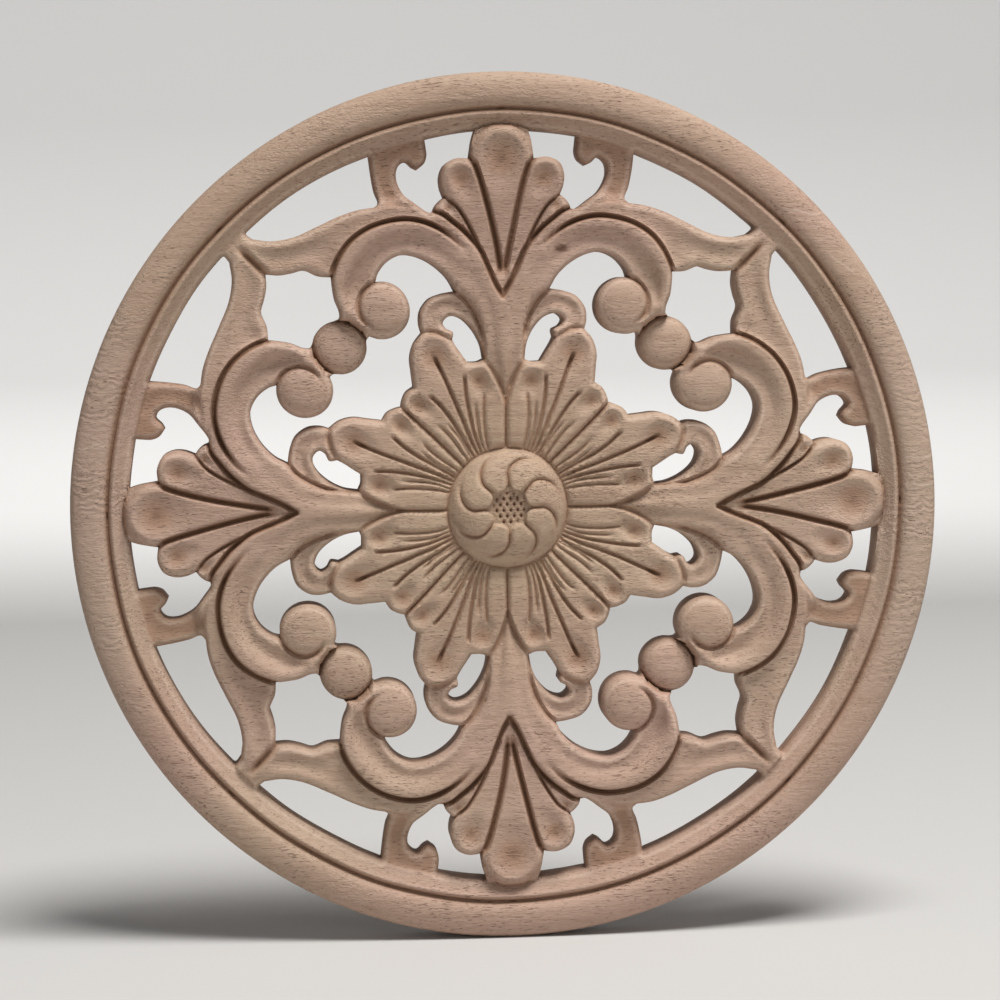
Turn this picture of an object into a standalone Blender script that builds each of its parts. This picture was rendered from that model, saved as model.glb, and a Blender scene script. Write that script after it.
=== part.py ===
"""Round openwork wood applique: one carved disc with a moulded ring, scrolls, palmettes and a rosette.

The plan is drawn in millimetres on one eighth of the disc (u to the right, v upwards, v >= u >= 0)
and mirrored round the centre.  The relief height is measured forwards from the flat back.
"""
import math

import bmesh
import bpy
import numpy as np
from mathutils import Vector
from mathutils.geometry import delaunay_2d_cdt

MM = 0.001

# Overall sizes
DISC_RADIUS = 100.0
RING_INNER = 86.9
RING_HEIGHT = 11.4
EDGE_ROUND = 1.5
DOME_RADIUS = 13.9
DOME_HEIGHT = 14.4
SEED_RADIUS = 5.3
PETALS = 8

# Balls that end the scrolls, and the smaller ones on the diagonals
BALL_CENTRE = (28.0, 46.0)
BALL_RADIUS = 6.6
BALL_TOP = 12.2
KNOB_CENTRE = (37.5, 37.5)
KNOB_RADIUS = 6.2
KNOB_TOP = 9.9

# Fineness of the faceted solid
STEP = 5.0
TURN = math.radians(32.0)
RING_SIDES = 12
FRONT_POINTS = 484
FILL_STEP = 5.0
SAMPLE_STEP = 0.9

# Ring section: radius and height
RING_SECTION = [
    (86.9, 7.6), (88.4, 9.7), (90.5, 10.6), (91.7, 8.6), (92.9, 10.7),
    (95.6, RING_HEIGHT), (98.6, 9.9), (100.0, 6.6),
]

# Corner points shared by the outlines
LOBE_FOOT = (7.3, 80.1)
LOBE_NOTCH = (13.4, 71.5)
BAND_NOTCH = (15.9, 68.3)
HOOK_FOOT = (29.2, 69.7)
LEAF_NOTCH = (57.2, 62.4)
CURL_NOTCH = (11.9, 39.0)
LEAF_TIP = (18.8, 40.8)
LEAF_CROTCH = (20.8, 28.4)
ARM_NOTCH = (10.8, 50.2)
BAND_END = (39.3, 53.8)


def polar(radius, degrees, centre=(0.0, 0.0)):
    angle = math.radians(degrees)
    return (centre[0] + radius * math.sin(angle), centre[1] + radius * math.cos(angle))


def arc(centre, radius, start, stop, count=9):
    """Points on a circle; angles in degrees, clockwise from +v."""
    return [polar(radius, start + (stop - start) * i / (count - 1), centre) for i in range(count)]


# Openings: closed chains of smooth pieces, one piece per line of the carving
HOOK_OPENING = [
    arc((0.0, 0.0), RING_INNER, 3.95, 11.6, 4),
    [polar(RING_INNER, 11.6), (17.2, 83.0), (17.1, 81.3), (17.7, 79.6), (19.4, 78.2)],
    [(19.4, 78.2), (20.6, 78.8), (22.2, 80.1), (23.9, 78.9), (24.3, 76.2), (22.6, 72.4), (20.0, 70.2)],
    [(20.0, 70.2), (18.2, 68.8), (16.9, 68.1), BAND_NOTCH],
    [BAND_NOTCH, (14.9, 69.8), LOBE_NOTCH],
    [LOBE_NOTCH, (14.2, 73.8), (14.3, 76.4), (13.1, 79.0), (10.4, 80.3), LOBE_FOOT],
    [LOBE_FOOT, (7.0, 82.0), (6.6, 84.5), polar(RING_INNER, 3.95)],
]
CRESCENT_OPENING = [
    arc((0.0, 0.0), RING_INNER, 20.6, 41.6, 7),
    [polar(RING_INNER, 41.6), (58.7, 63.8), LEAF_NOTCH],
    [LEAF_NOTCH, (53.0, 61.8), (48.0, 62.6), (42.0, 65.3), (37.0, 67.7), (33.0, 69.1), HOOK_FOOT],
    [HOOK_FOOT, (28.3, 70.7), (29.3, 73.5), (30.1, 77.5), polar(RING_INNER, 20.6)],
]
CURL_OPENING = [
    [(4.7, 34.2), (6.2, 33.6), (8.6, 33.6)],
    [(8.6, 33.6), (9.9, 35.6), (11.2, 37.6), CURL_NOTCH],
    [CURL_NOTCH, (11.7, 40.8), (13.3, 41.8), (13.9, 43.1), (12.4, 44.5), (9.8, 43.9), (7.2, 41.3),
     (5.3, 37.6), (4.7, 34.2)],
]
# Outlines that run from one diagonal point to another
LARGE_OPENING = [
    [(23.8, 23.8), (23.5, 25.2), (22.5, 27.2), LEAF_CROTCH],
    [LEAF_CROTCH, (21.2, 31.8), (21.5, 35.2), (20.6, 38.4), LEAF_TIP],
    [LEAF_TIP, (19.3, 42.8), (19.0, 45.7), (16.9, 48.5), (13.9, 49.7), ARM_NOTCH],
    [ARM_NOTCH, (12.4, 53.1), (15.6, 56.1), (19.6, 58.1), (23.2, 58.5), (26.4, 57.0), (28.6, 54.3),
     polar(BALL_RADIUS, 10.0, BALL_CENTRE)],
    arc(BALL_CENTRE, BALL_RADIUS, 10.0, -205.0, 13),
    [polar(BALL_RADIUS, -205.0, BALL_CENTRE), (31.3, 39.4), polar(KNOB_RADIUS, -80.0, KNOB_CENTRE)],
    arc(KNOB_CENTRE, KNOB_RADIUS, -80.0, -135.0, 5),
]
DIAGONAL_OPENING = [
    arc(KNOB_CENTRE, KNOB_RADIUS, 45.0, 10.0, 4),
    [polar(KNOB_RADIUS, 10.0, KNOB_CENTRE), (37.5, 44.2), (37.5, 45.7), (38.6, 48.6), (39.1, 51.6), BAND_END],
    [BAND_END, (42.3, 54.0), (45.6, 55.2), (48.4, 54.5), (51.2, 54.0), (54.2, 54.2)],
]

# Carved lines: name, points, depth, half width, fade at the start, fade at the end
CUTS = [
    ("lobe line", [LOBE_FOOT, (6.0, 78.0), (4.0, 71.0), (2.4, 65.0), (1.3, 60.5), (0.6, 57.5)],
     3.6, 0.95, 0.0, 0.2),
    ("side line", [LOBE_NOTCH, (10.0, 69.0), (7.0, 64.5), (4.6, 60.2), (3.0, 56.5)], 3.2, 0.85, 0.0, 0.3),
    ("palmette foot", [BAND_NOTCH, (13.5, 66.7), (9.0, 64.0), (6.0, 60.6), (4.0, 57.0), (1.8, 52.0), (0.0, 48.0)],
     3.4, 0.95, 0.0, 0.15),
    ("scroll line", [(10.8, 61.4), (14.2, 63.9), (18.0, 65.6), (22.0, 66.5), (26.4, 66.2), (30.7, 64.7),
                     (34.8, 62.0), (37.5, 58.5), (39.1, 55.2)], 4.0, 1.0, 0.3, 0.0),
    ("hook foot", [(20.0, 70.0), (24.0, 70.9), HOOK_FOOT], 2.4, 0.8, 0.0, 0.0),
    ("ball line", [(29.2, 52.6), (31.5, 51.2), (33.1, 48.9), (33.2, 46.6), (32.1, 44.2), (30.2, 42.6)],
     4.0, 0.95, 0.0, 0.35),
    ("knob line", [(31.3, 39.5), (34.0, 42.0), (37.4, 44.5)], 2.6, 0.9, 0.0, 0.0),
    ("arm line", [(4.6, 34.4), (4.6, 38.0), (5.3, 43.0), (7.4, 47.3), ARM_NOTCH], 2.8, 0.8, 0.0, 0.0),
    ("curl foot", [CURL_NOTCH, (14.6, 39.9), LEAF_TIP], 2.4, 0.75, 0.0, 0.0),
    ("stem foot", [(0.0, 25.2), (1.7, 28.4), (3.3, 31.8), (4.6, 34.2)], 2.6, 0.9, 0.0, 0.0),
    ("leaf a", [(8.7, 33.5), (9.6, 31.0), (9.2, 27.6), (8.2, 21.3), (7.0, 15.6)], 1.7, 0.7, 0.0, 0.2),
    ("leaf b", [LEAF_CROTCH, (17.3, 26.4), (12.8, 21.1), (9.5, 15.2)], 1.9, 0.75, 0.0, 0.2),
    ("leaf c", [(23.7, 23.7), (16.0, 16.0), (11.0, 11.0)], 2.2, 0.8, 0.0, 0.2),
    ("leaf axis", [(0.0, 25.2), (0.0, 15.4)], 1.8, 0.75, 0.0, 0.2),
    ("long vein", [(16.4, 35.8), (14.4, 31.5), (11.2, 23.5), (8.2, 15.6)], 1.5, 0.65, 0.15, 0.2),
    ("short vein", [(5.0, 27.2), (5.0, 21.0), (4.7, 15.9)], 1.2, 0.6, 0.25, 0.2),
    ("end vein", [(16.0, 19.6), (13.6, 17.6), (11.4, 14.6)], 1.3, 0.6, 0.2, 0.2),
    ("leaf fold", [(54.4, 54.4), (57.5, 57.5), (60.6, 60.6)], 2.0, 0.9, 0.0, 0.4),
]

# Crests, hollows and middles of the carved pieces: points, height at the start, height at the end
SPINES = [
    # palmette: middle lobe rim and hollow, side lobe, small lobe
    ([(0.0, 87.6), (2.6, 87.3), (4.6, 85.8), (5.1, 82.5), (4.7, 78.0), (3.0, 70.5), (1.0, 62.0)], 11.9, 11.2),
    ([(0.0, 83.6), (0.0, 79.0)], 9.0, 9.2),
    ([(0.0, 78.0), (0.0, 64.0)], 9.3, 11.2),
    ([(8.0, 78.2), (7.0, 75.0), (5.6, 70.0), (3.0, 61.5)], 11.7, 11.0),
    ([(8.6, 79.0), (11.2, 78.9), (13.0, 76.8), (12.9, 73.9), (11.3, 71.4), (8.4, 68.6), (5.4, 63.6)], 11.7, 11.0),
    ([(10.0, 76.4), (9.6, 74.2)], 8.9, 9.0),
    ([(9.2, 72.8), (6.4, 66.8)], 9.4, 10.9),
    ([(12.2, 70.1), (10.0, 67.6), (7.2, 63.6)], 11.4, 10.9),
    ([(14.4, 69.0), (12.6, 67.5), (9.2, 65.2)], 11.2, 10.9),
    ([(13.0, 69.0), (11.4, 67.4)], 9.4, 10.0),
    # scroll: thin outer band, crest and face of the main band, arms springing from the stem
    ([(8.4, 61.8), (12.0, 64.4), (16.0, 66.7), (20.0, 68.0), (25.0, 68.4), (29.5, 67.6), (34.0, 65.4)], 11.2, 9.9),
    ([(36.0, 64.0), (38.6, 61.0), (40.2, 57.0)], 9.6, 9.0),
    ([(9.6, 60.0), (14.0, 62.5), (19.0, 64.4), (24.0, 64.9), (29.0, 63.9), (33.0, 61.6), (36.0, 57.8)], 12.1, 12.0),
    ([(36.0, 57.8), (37.2, 53.0), (36.3, 48.6), (34.2, 45.0), (32.0, 42.0)], 12.0, 10.8),
    ([(12.0, 55.8), (16.0, 59.2), (21.0, 61.0), (26.0, 60.2), (30.6, 56.9), (33.6, 53.0), (35.0, 49.8)], 11.4, 11.2),
    ([(3.4, 49.4), (6.0, 53.4), (8.6, 58.0)], 11.6, 12.0),
    # leaf band and its knot on the ring
    ([(42.0, 59.6), (46.0, 59.4), (50.0, 58.0), (54.4, 58.4)], 9.2, 9.3),
    ([(55.6, 59.8), (60.4, 64.4)], 9.4, 9.0),
    # hook and curl, the lowest pieces
    ([(23.4, 82.6), (26.6, 80.0), (27.4, 76.4), (25.8, 72.8)], 8.6, 7.8),
    ([(19.6, 83.0), (19.0, 80.6)], 8.4, 8.2),
    ([(9.8, 46.8), (13.6, 47.2), (16.4, 45.2), (16.6, 42.8)], 8.2, 8.4),
    # stem
    ([(0.0, 47.0), (0.0, 34.0)], 12.0, 11.2),
    ([(0.0, 33.0), (0.0, 27.4)], 10.6, 9.4),
    ([(3.0, 36.0), (3.6, 42.0), (5.4, 46.6), (8.6, 51.0), (10.6, 54.6)], 10.4, 11.2),
    # rosette leaves: rims, hollows and bodies
    ([(2.0, 26.6), (4.2, 31.2), (6.2, 32.6), (8.4, 31.8)], 10.4, 10.3),
    ([(6.8, 30.2), (6.9, 29.0)], 8.7, 8.9),
    ([(3.4, 24.4), (3.0, 16.4)], 10.9, 10.9),
    ([(9.9, 33.0), (11.8, 36.6), (14.4, 38.6), (17.6, 39.6), (20.0, 36.6), (20.2, 31.8)], 10.6, 10.7),
    ([(13.6, 34.6), (11.8, 30.4)], 9.9, 10.2),
    ([(17.8, 33.6), (16.4, 29.8)], 9.9, 10.3),
    ([(10.4, 25.0), (8.4, 18.4)], 10.7, 10.9),
    ([(13.4, 25.0), (10.4, 18.8)], 10.7, 10.9),
    ([(19.6, 27.4), (21.8, 26.2), (22.6, 24.4)], 10.4, 10.3),
    ([(19.6, 24.4), (18.6, 23.0)], 8.8, 9.1),
    ([(16.4, 21.8), (13.2, 17.4)], 10.8, 10.9),
    ([(16.8, 18.2), (13.2, 14.4)], 10.7, 10.9),
]

# Line between two petals of the whirl, and the tip of the middle lobe that lies over the ring
WHIRL = [(5.3, 0.0), (7.2, -3.2), (8.6, -3.0), (10.2, 2.6), (11.6, 12.6), (12.5, 25.0), (13.1, 40.0)]
LOBE_TIP = [(0.0, 89.2), (3.0, 88.9), (4.8, 87.8), (5.9, 86.4)]


def smooth(points, per_span=8):
    """Centripetal spline through the points as a dense polyline."""
    if len(points) < 3:
        return [tuple(p) for p in points]
    knots = [np.array(p, dtype=float) for p in points]
    knots = [2.0 * knots[0] - knots[1]] + knots + [2.0 * knots[-1] - knots[-2]]
    line = []
    for i in range(1, len(knots) - 2):
        p0, p1, p2, p3 = knots[i - 1:i + 3]
        t1 = math.sqrt(np.linalg.norm(p1 - p0))
        t2 = t1 + math.sqrt(np.linalg.norm(p2 - p1))
        t3 = t2 + math.sqrt(np.linalg.norm(p3 - p2))
        for k in range(per_span):
            t = t1 + (t2 - t1) * k / per_span
            a1 = p0 * (t1 - t) / t1 + p1 * t / t1
            a2 = p1 * (t2 - t) / (t2 - t1) + p2 * (t - t1) / (t2 - t1)
            a3 = p2 * (t3 - t) / (t3 - t2) + p3 * (t - t2) / (t3 - t2)
            b1 = a1 * (t2 - t) / t2 + a2 * t / t2
            b2 = a2 * (t3 - t) / (t3 - t1) + a3 * (t - t1) / (t3 - t1)
            line.append(tuple(b1 * (t2 - t) / (t2 - t1) + b2 * (t - t1) / (t2 - t1)))
    line.append(tuple(points[-1]))
    return line


def spaced(line, step, turn):
    """Fewer points along a dense polyline: new ones after a set length or a set turn."""
    pts = [np.array(p) for p in line]
    total = sum(np.linalg.norm(b - a) for a, b in zip(pts, pts[1:]))
    run = 0.0
    bend = 0.0
    chosen = []
    for i in range(1, len(pts) - 1):
        a = pts[i] - pts[i - 1]
        b = pts[i + 1] - pts[i]
        run += np.linalg.norm(a)
        cross = a[0] * b[1] - a[1] * b[0]
        bend += abs(math.atan2(cross, float(np.dot(a, b))))
        if run + bend * step / turn >= step:
            chosen.append(tuple(pts[i]))
            run = 0.0
            bend = 0.0
    if chosen and total > 0.0 and run < 0.35 * step and bend < 0.35 * turn:
        chosen.pop()
    return [tuple(line[0])] + chosen + [tuple(line[-1])]


def nearest(points, line):
    """Distance from every point to a polyline and the share of its length at the nearest place."""
    best = np.full(len(points), 1e9)
    share = np.zeros(len(points))
    lengths = [math.dist(a, b) for a, b in zip(line, line[1:])]
    total = sum(lengths)
    run = 0.0
    for a, b, length in zip(line, line[1:], lengths):
        if length < 1e-9:
            continue
        ax, ay = a
        dx = (b[0] - ax) / length
        dy = (b[1] - ay) / length
        px = points[:, 0] - ax
        py = points[:, 1] - ay
        t = np.clip(px * dx + py * dy, 0.0, length)
        d = np.hypot(px - t * dx, py - t * dy)
        closer = d < best
        best = np.where(closer, d, best)
        share = np.where(closer, (run + t) / total, share)
        run += length
    return best, share


def inside(points, loops):
    """Even-odd test of points against closed loops."""
    hit = np.zeros(len(points), dtype=bool)
    x = points[:, 0]
    y = points[:, 1]
    for loop in loops:
        for (ax, ay), (bx, by) in zip(loop, loop[1:] + loop[:1]):
            if ay == by:
                continue
            spans = (y >= min(ay, by)) & (y < max(ay, by))
            hit ^= spans & (x < ax + (y - ay) * (bx - ax) / (by - ay))
    return hit


OUTLINES = [smooth(piece) for opening in
            (HOOK_OPENING, CRESCENT_OPENING, CURL_OPENING, LARGE_OPENING, DIAGONAL_OPENING) for piece in opening]
CUT_LINES = [smooth(cut[1]) for cut in CUTS]
SPINE_LINES = [smooth(spine[0]) for spine in SPINES]
TIP_LINE = smooth(LOBE_TIP)
SEAM_MARKS = [15.0, 25.2, 48.0, 60.0, 79.0, 83.5, 87.6, 89.2]
TIP_AREA = TIP_LINE + [(5.0, 85.0), (0.0, 85.0)]


def body_height(points):
    """Height of the carved pieces before their edges are rounded and the lines are cut."""
    total = np.zeros(len(points))
    weight = np.zeros(len(points))
    for line, (_, first, last) in zip(SPINE_LINES, SPINES):
        distance, share = nearest(points, line)
        w = 1.0 / (0.12 + distance) ** 4
        total += w * (first + (last - first) * share)
        weight += w
    height = total / weight
    for centre, radius, top in ((BALL_CENTRE, BALL_RADIUS, BALL_TOP), (KNOB_CENTRE, KNOB_RADIUS, KNOB_TOP)):
        d = np.hypot(points[:, 0] - centre[0], points[:, 1] - centre[1])
        ball = top - 1.6 * (np.minimum(d / radius, 1.0)) ** 2.4
        mix = np.clip((radius + 0.3 - d) / 0.6, 0.0, 1.0)
        height = height * (1.0 - mix) + ball * mix
    return height


def ring_height(r):
    radii = [p[0] for p in RING_SECTION]
    heights = [p[1] for p in RING_SECTION]
    return np.interp(r, radii, heights)


def relief(points):
    """Height of the finished carving above the flat back."""
    points = np.asarray(points, dtype=float)
    r = np.hypot(points[:, 0], points[:, 1])
    body = body_height(points)
    edge = np.full(len(points), 1e9)
    for line in OUTLINES:
        edge = np.minimum(edge, nearest(points, line)[0])
    inset = np.clip(1.0 - edge / EDGE_ROUND, 0.0, 1.0)
    height = body - EDGE_ROUND * (1.0 - np.sqrt(1.0 - inset ** 2))
    mix = np.clip((r - RING_INNER + 0.2) / 0.4, 0.0, 1.0)
    height = height * (1.0 - mix) + ring_height(r) * mix
    tip = inside(points, [TIP_AREA])
    reach = nearest(points, TIP_LINE)[0]
    lifted = body - EDGE_ROUND * (1.0 - np.sqrt(1.0 - np.clip(1.0 - reach / EDGE_ROUND, 0.0, 1.0) ** 2))
    height = np.where(tip, np.maximum(height, lifted), height)
    for line, (_, _, depth, half, fade_in, fade_out) in zip(CUT_LINES, CUTS):
        distance, share = nearest(points, line)
        fade = np.ones(len(points))
        if fade_in:
            fade = np.minimum(fade, share / fade_in)
        if fade_out:
            fade = np.minimum(fade, (1.0 - share) / fade_out)
        floor = body - depth * np.clip(fade, 0.0, 1.0)
        height = np.minimum(height, np.maximum(floor + distance * depth / half, floor))
    ditch = np.abs(r - DOME_RADIUS - 0.3)
    return np.minimum(height, 8.4 + 2.4 * ditch)


def dome_height(points):
    """Height of the centre dome with its whirl of petals round a seed disc."""
    points = np.asarray(points, dtype=float)
    r = np.hypot(points[:, 0], points[:, 1])
    height = DOME_HEIGHT - 4.6 * np.clip((r - 6.6) / (DOME_RADIUS - 6.6), 0.0, 1.0) ** 2.1
    for k in range(PETALS):
        distance, share = nearest(points, WHIRL_LINES[k])
        floor = height - 1.7 * np.clip((1.0 - share) / 0.45, 0.0, 1.0)
        height = np.minimum(height, floor + distance * 2.2)
    seed = DOME_HEIGHT - 1.5 + 0.3 * np.clip(1.0 - r / SEED_RADIUS, 0.0, 1.0)
    height = np.where(r < SEED_RADIUS, seed, height)
    return np.where(r > DOME_RADIUS - 0.01, 8.7, height)


WHIRL_LINES = []
for petal in range(PETALS):
    turned = [polar(r, a + petal * 360.0 / PETALS) for r, a in WHIRL]
    WHIRL_LINES.append(smooth(turned))


class Plan:
    """Points and fixed edges of a plan, ready to be triangulated."""

    def __init__(self):
        self.points = []
        self.edges = []

    def find(self, p, gap):
        if not self.points:
            return None
        known = np.array(self.points)
        d = np.hypot(known[:, 0] - p[0], known[:, 1] - p[1])
        i = int(np.argmin(d))
        return i if d[i] < gap else None

    def add(self, p, gap=1e-4):
        i = self.find(p, gap)
        if i is None:
            self.points.append((float(p[0]), float(p[1])))
            i = len(self.points) - 1
        return i

    def chain(self, pts, gap=1e-4):
        ids = [self.add(p, gap) for p in pts]
        for a, b in zip(ids, ids[1:]):
            if a != b:
                self.edges.append((a, b))
        return ids

    def triangles(self, loops):
        """Triangles inside the loops, wound anticlockwise."""
        verts, _, faces, origins, _, _ = delaunay_2d_cdt(
            [Vector(p) for p in self.points], self.edges, [], 0, 1e-5)
        pts = np.array([self.points[o[0]] if o else (v.x, v.y) for v, o in zip(verts, origins)])
        faces = [f for f in faces if len(f) == 3]
        centres = np.array([pts[list(f)].mean(axis=0) for f in faces])
        keep = inside(centres, loops)
        out = []
        for f, ok in zip(faces, keep):
            if not ok:
                continue
            a, b, c = (pts[i] for i in f)
            area = (b[0] - a[0]) * (c[1] - a[1]) - (b[1] - a[1]) * (c[0] - a[0])
            if abs(area) < 1e-7:
                continue
            out.append(tuple(f) if area > 0.0 else (f[0], f[2], f[1]))
        return pts, out


def loop_points(pieces):
    """One polyline from several smooth pieces, thinned to the working fineness."""
    pts = []
    for piece in pieces:
        part = spaced(smooth(piece), STEP, TURN)
        pts += part if not pts else part[1:]
    return pts


def offset_line(line, distance, step):
    """Points beside a line, on its left for a positive distance."""
    pts = spaced(line, step, TURN)
    out = []
    for i in range(len(pts)):
        a = np.array(pts[max(i - 1, 0)])
        b = np.array(pts[min(i + 1, len(pts) - 1)])
        d = (b - a) / max(np.linalg.norm(b - a), 1e-9)
        out.append((pts[i][0] - d[1] * distance, pts[i][1] + d[0] * distance))
    return out


def octant_plan():
    """Triangulated plan of one eighth of the disc, the dome left out."""
    root2 = math.sqrt(0.5)
    large = loop_points(LARGE_OPENING)
    diagonal = loop_points(DIAGONAL_OPENING)
    for chain in (large, diagonal):
        for k in (0, -1):
            m = (chain[k][0] + chain[k][1]) / 2.0
            chain[k] = (m, m)
    holes = [loop_points(o)[:-1] for o in (HOOK_OPENING, CRESCENT_OPENING, CURL_OPENING)]
    rim = [polar(DISC_RADIUS, 45.0 * i / RING_SIDES) for i in range(RING_SIDES + 1)]
    rim[0] = (0.0, DISC_RADIUS)
    rim[-1] = (DISC_RADIUS * root2, DISC_RADIUS * root2)
    foot = [polar(DOME_RADIUS, 45.0 * i / 4) for i in range(5)]
    foot[0] = (0.0, DOME_RADIUS)
    foot[-1] = (DOME_RADIUS * root2, DOME_RADIUS * root2)

    plan = Plan()
    plan.chain(rim)
    plan.chain(foot)
    plan.chain(large)
    plan.chain(diagonal)
    for hole in holes:
        plan.chain(hole + hole[:1])
    border = rim + diagonal[::-1] + large[::-1] + foot[::-1]
    loops = [border] + holes

    def seam(start, stop, marks):
        """A mirror line with points at the marks and at even steps between them."""
        marks = sorted(set([start, stop] + [m for m in marks if start < m < stop]))
        pts = []
        for a, b in zip(marks, marks[1:]):
            n = max(1, round((b - a) / FILL_STEP))
            pts += [a + (b - a) * i / n for i in range(n)]
        return pts + [stop]

    rings = [p[0] for p in RING_SECTION[1:-1]]
    plan.chain([(0.0, v) for v in seam(DOME_RADIUS, DISC_RADIUS, SEAM_MARKS + rings[2:])])
    for a, b, marks in ((DOME_RADIUS, math.hypot(*large[0]), [15.2]),
                        (math.hypot(*large[-1]), math.hypot(*diagonal[0]), [53.0]),
                        (math.hypot(*diagonal[-1]), DISC_RADIUS, rings)):
        pts = [(s * root2, s * root2) for s in seam(a, b, marks)]
        pts[0] = min(plan.points, key=lambda p: math.dist(p, pts[0]))
        pts[-1] = min(plan.points, key=lambda p: math.dist(p, pts[-1]))
        plan.chain(pts)
    borders = [border + border[:1]] + [hole + hole[:1] for hole in holes]

    def clear(pts, room):
        """Mask of the points that lie in the wood, away from the edges and the mirror lines."""
        pts = np.asarray(pts, dtype=float).reshape(-1, 2)
        ok = inside(pts, loops) & (pts[:, 0] > room) & ((pts[:, 1] - pts[:, 0]) * root2 > room)
        for line in borders:
            ok &= nearest(pts, line)[0] > room
        return ok

    tip = spaced(TIP_LINE, 3.0, TURN)
    plan.chain(tip, 0.3)
    for radius in rings:
        pts = [polar(radius, 45.0 * i / RING_SIDES) for i in range(1, RING_SIDES)]
        run = []
        for p in pts + [None]:
            free = p and clear([p], 0.9)[0] and not inside(np.array([p]), [TIP_AREA])[0]
            if free and nearest(np.array([p]), TIP_LINE)[0][0] > 0.8:
                run.append(p)
                continue
            if len(run) > 1:
                plan.chain(run)
            run = []
    for line in CUT_LINES:
        pts = spaced(line, 0.9 * STEP, TURN)
        ok = clear(pts, 0.5)
        plan.chain([p for i, p in enumerate(pts) if ok[i] or i in (0, len(pts) - 1)], 0.45)
    refine(plan, loops, clear)
    pts, faces = plan.triangles(loops)
    return pts, faces, loops, large, diagonal, rim, foot, holes


def refine(plan, loops, clear):
    """Adds points where the facets lie farthest from the true relief."""
    row = SAMPLE_STEP * math.sqrt(0.75)
    grid = [((i + 0.5 * (j % 2)) * SAMPLE_STEP, j * row)
            for j in range(int(DISC_RADIUS / row)) for i in range(int(72.0 / SAMPLE_STEP))]
    grid = [p for p in grid if p[0] <= p[1] and math.hypot(*p) < 90.0]
    beside = []
    for line in CUT_LINES:
        for side in (-0.95, 0.95):
            beside += offset_line(line, side, 2.4)
    for line in OUTLINES:
        for side in (-1.3, 1.3):
            beside += offset_line(line, side, 2.4)
    for line in SPINE_LINES:
        beside += spaced(line, 1.6, TURN)
    grid = np.array(beside + grid)
    grid = grid[clear(grid, 0.7)]
    target = relief(grid)
    while len(plan.points) < FRONT_POINTS:
        pts, faces = plan.triangles(loops)
        heights = relief(pts)
        error = np.zeros(len(grid))
        home = np.full(len(grid), -1)
        for k, (i, j, m) in enumerate(faces):
            a, b, c = pts[i], pts[j], pts[m]
            low = np.minimum(np.minimum(a, b), c)
            high = np.maximum(np.maximum(a, b), c)
            near = np.nonzero((home < 0) & (grid >= low).all(axis=1) & (grid <= high).all(axis=1))[0]
            if not len(near):
                continue
            d = (b[0] - a[0]) * (c[1] - a[1]) - (b[1] - a[1]) * (c[0] - a[0])
            q = grid[near] - a
            s = (q[:, 0] * (c[1] - a[1]) - q[:, 1] * (c[0] - a[0])) / d
            t = (q[:, 1] * (b[0] - a[0]) - q[:, 0] * (b[1] - a[1])) / d
            hit = (s >= 0.0) & (t >= 0.0) & (s + t <= 1.0)
            flat = heights[i] + s * (heights[j] - heights[i]) + t * (heights[m] - heights[i])
            home[near[hit]] = k
            error[near[hit]] = np.abs(flat - target[near])[hit]
        worst = np.argsort(-error, kind="stable")
        used = set()
        room = min(50, FRONT_POINTS - len(plan.points))
        added = 0
        for n in worst:
            if added >= room or error[n] < 0.05:
                break
            if home[n] in used:
                continue
            used.add(home[n])
            if plan.find(grid[n], 0.75) is None:
                plan.add(grid[n])
                added += 1
        if not added:
            break


def back_plan(large, diagonal, rim, holes):
    """Triangulated plan of one eighth of the flat back."""
    border = rim + diagonal[::-1] + large[::-1] + [(0.0, 0.0)]
    plan = Plan()
    plan.chain(border + border[:1])
    for hole in holes:
        plan.chain(hole + hole[:1])
    return plan.triangles([border] + holes)


def dome_plan(foot):
    """Triangulated plan of the centre dome."""
    plan = Plan()
    ring = set()
    for p in foot:
        for a, b in ((1, 1), (1, -1), (-1, 1), (-1, -1)):
            ring.add((round(a * p[0], 9) + 0.0, round(b * p[1], 9) + 0.0))
            ring.add((round(a * p[1], 9) + 0.0, round(b * p[0], 9) + 0.0))
    ring = sorted(ring, key=lambda p: math.atan2(p[0], p[1]))
    plan.chain(ring + ring[:1])
    for line in WHIRL_LINES:
        plan.chain(spaced(line[: int(len(line) * 0.86)], 2.4, TURN), 0.3)
    for side in (-0.75, 0.75):
        for line in WHIRL_LINES:
            for p in offset_line(line[: int(len(line) * 0.86)], side, 2.4):
                if SEED_RADIUS + 0.3 < math.hypot(*p) < DOME_RADIUS - 0.7:
                    plan.add(p, 0.65)
    seeds = [polar(SEED_RADIUS - 0.02, 22.5 + 45.0 * i) for i in range(PETALS)]
    for radius, count in ((SEED_RADIUS + 0.75, 8), (8.2, 8), (11.2, 16)):
        for i in range(count):
            plan.add(polar(radius, 22.5 + 360.0 * i / count), 0.8)
    for p in seeds:
        plan.add(p, 0.4)
    for i in range(PETALS):
        plan.add(polar(2.8, 45.0 * i), 0.5)
    plan.add((0.0, 0.0), 0.5)
    return plan.triangles([ring])


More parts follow.
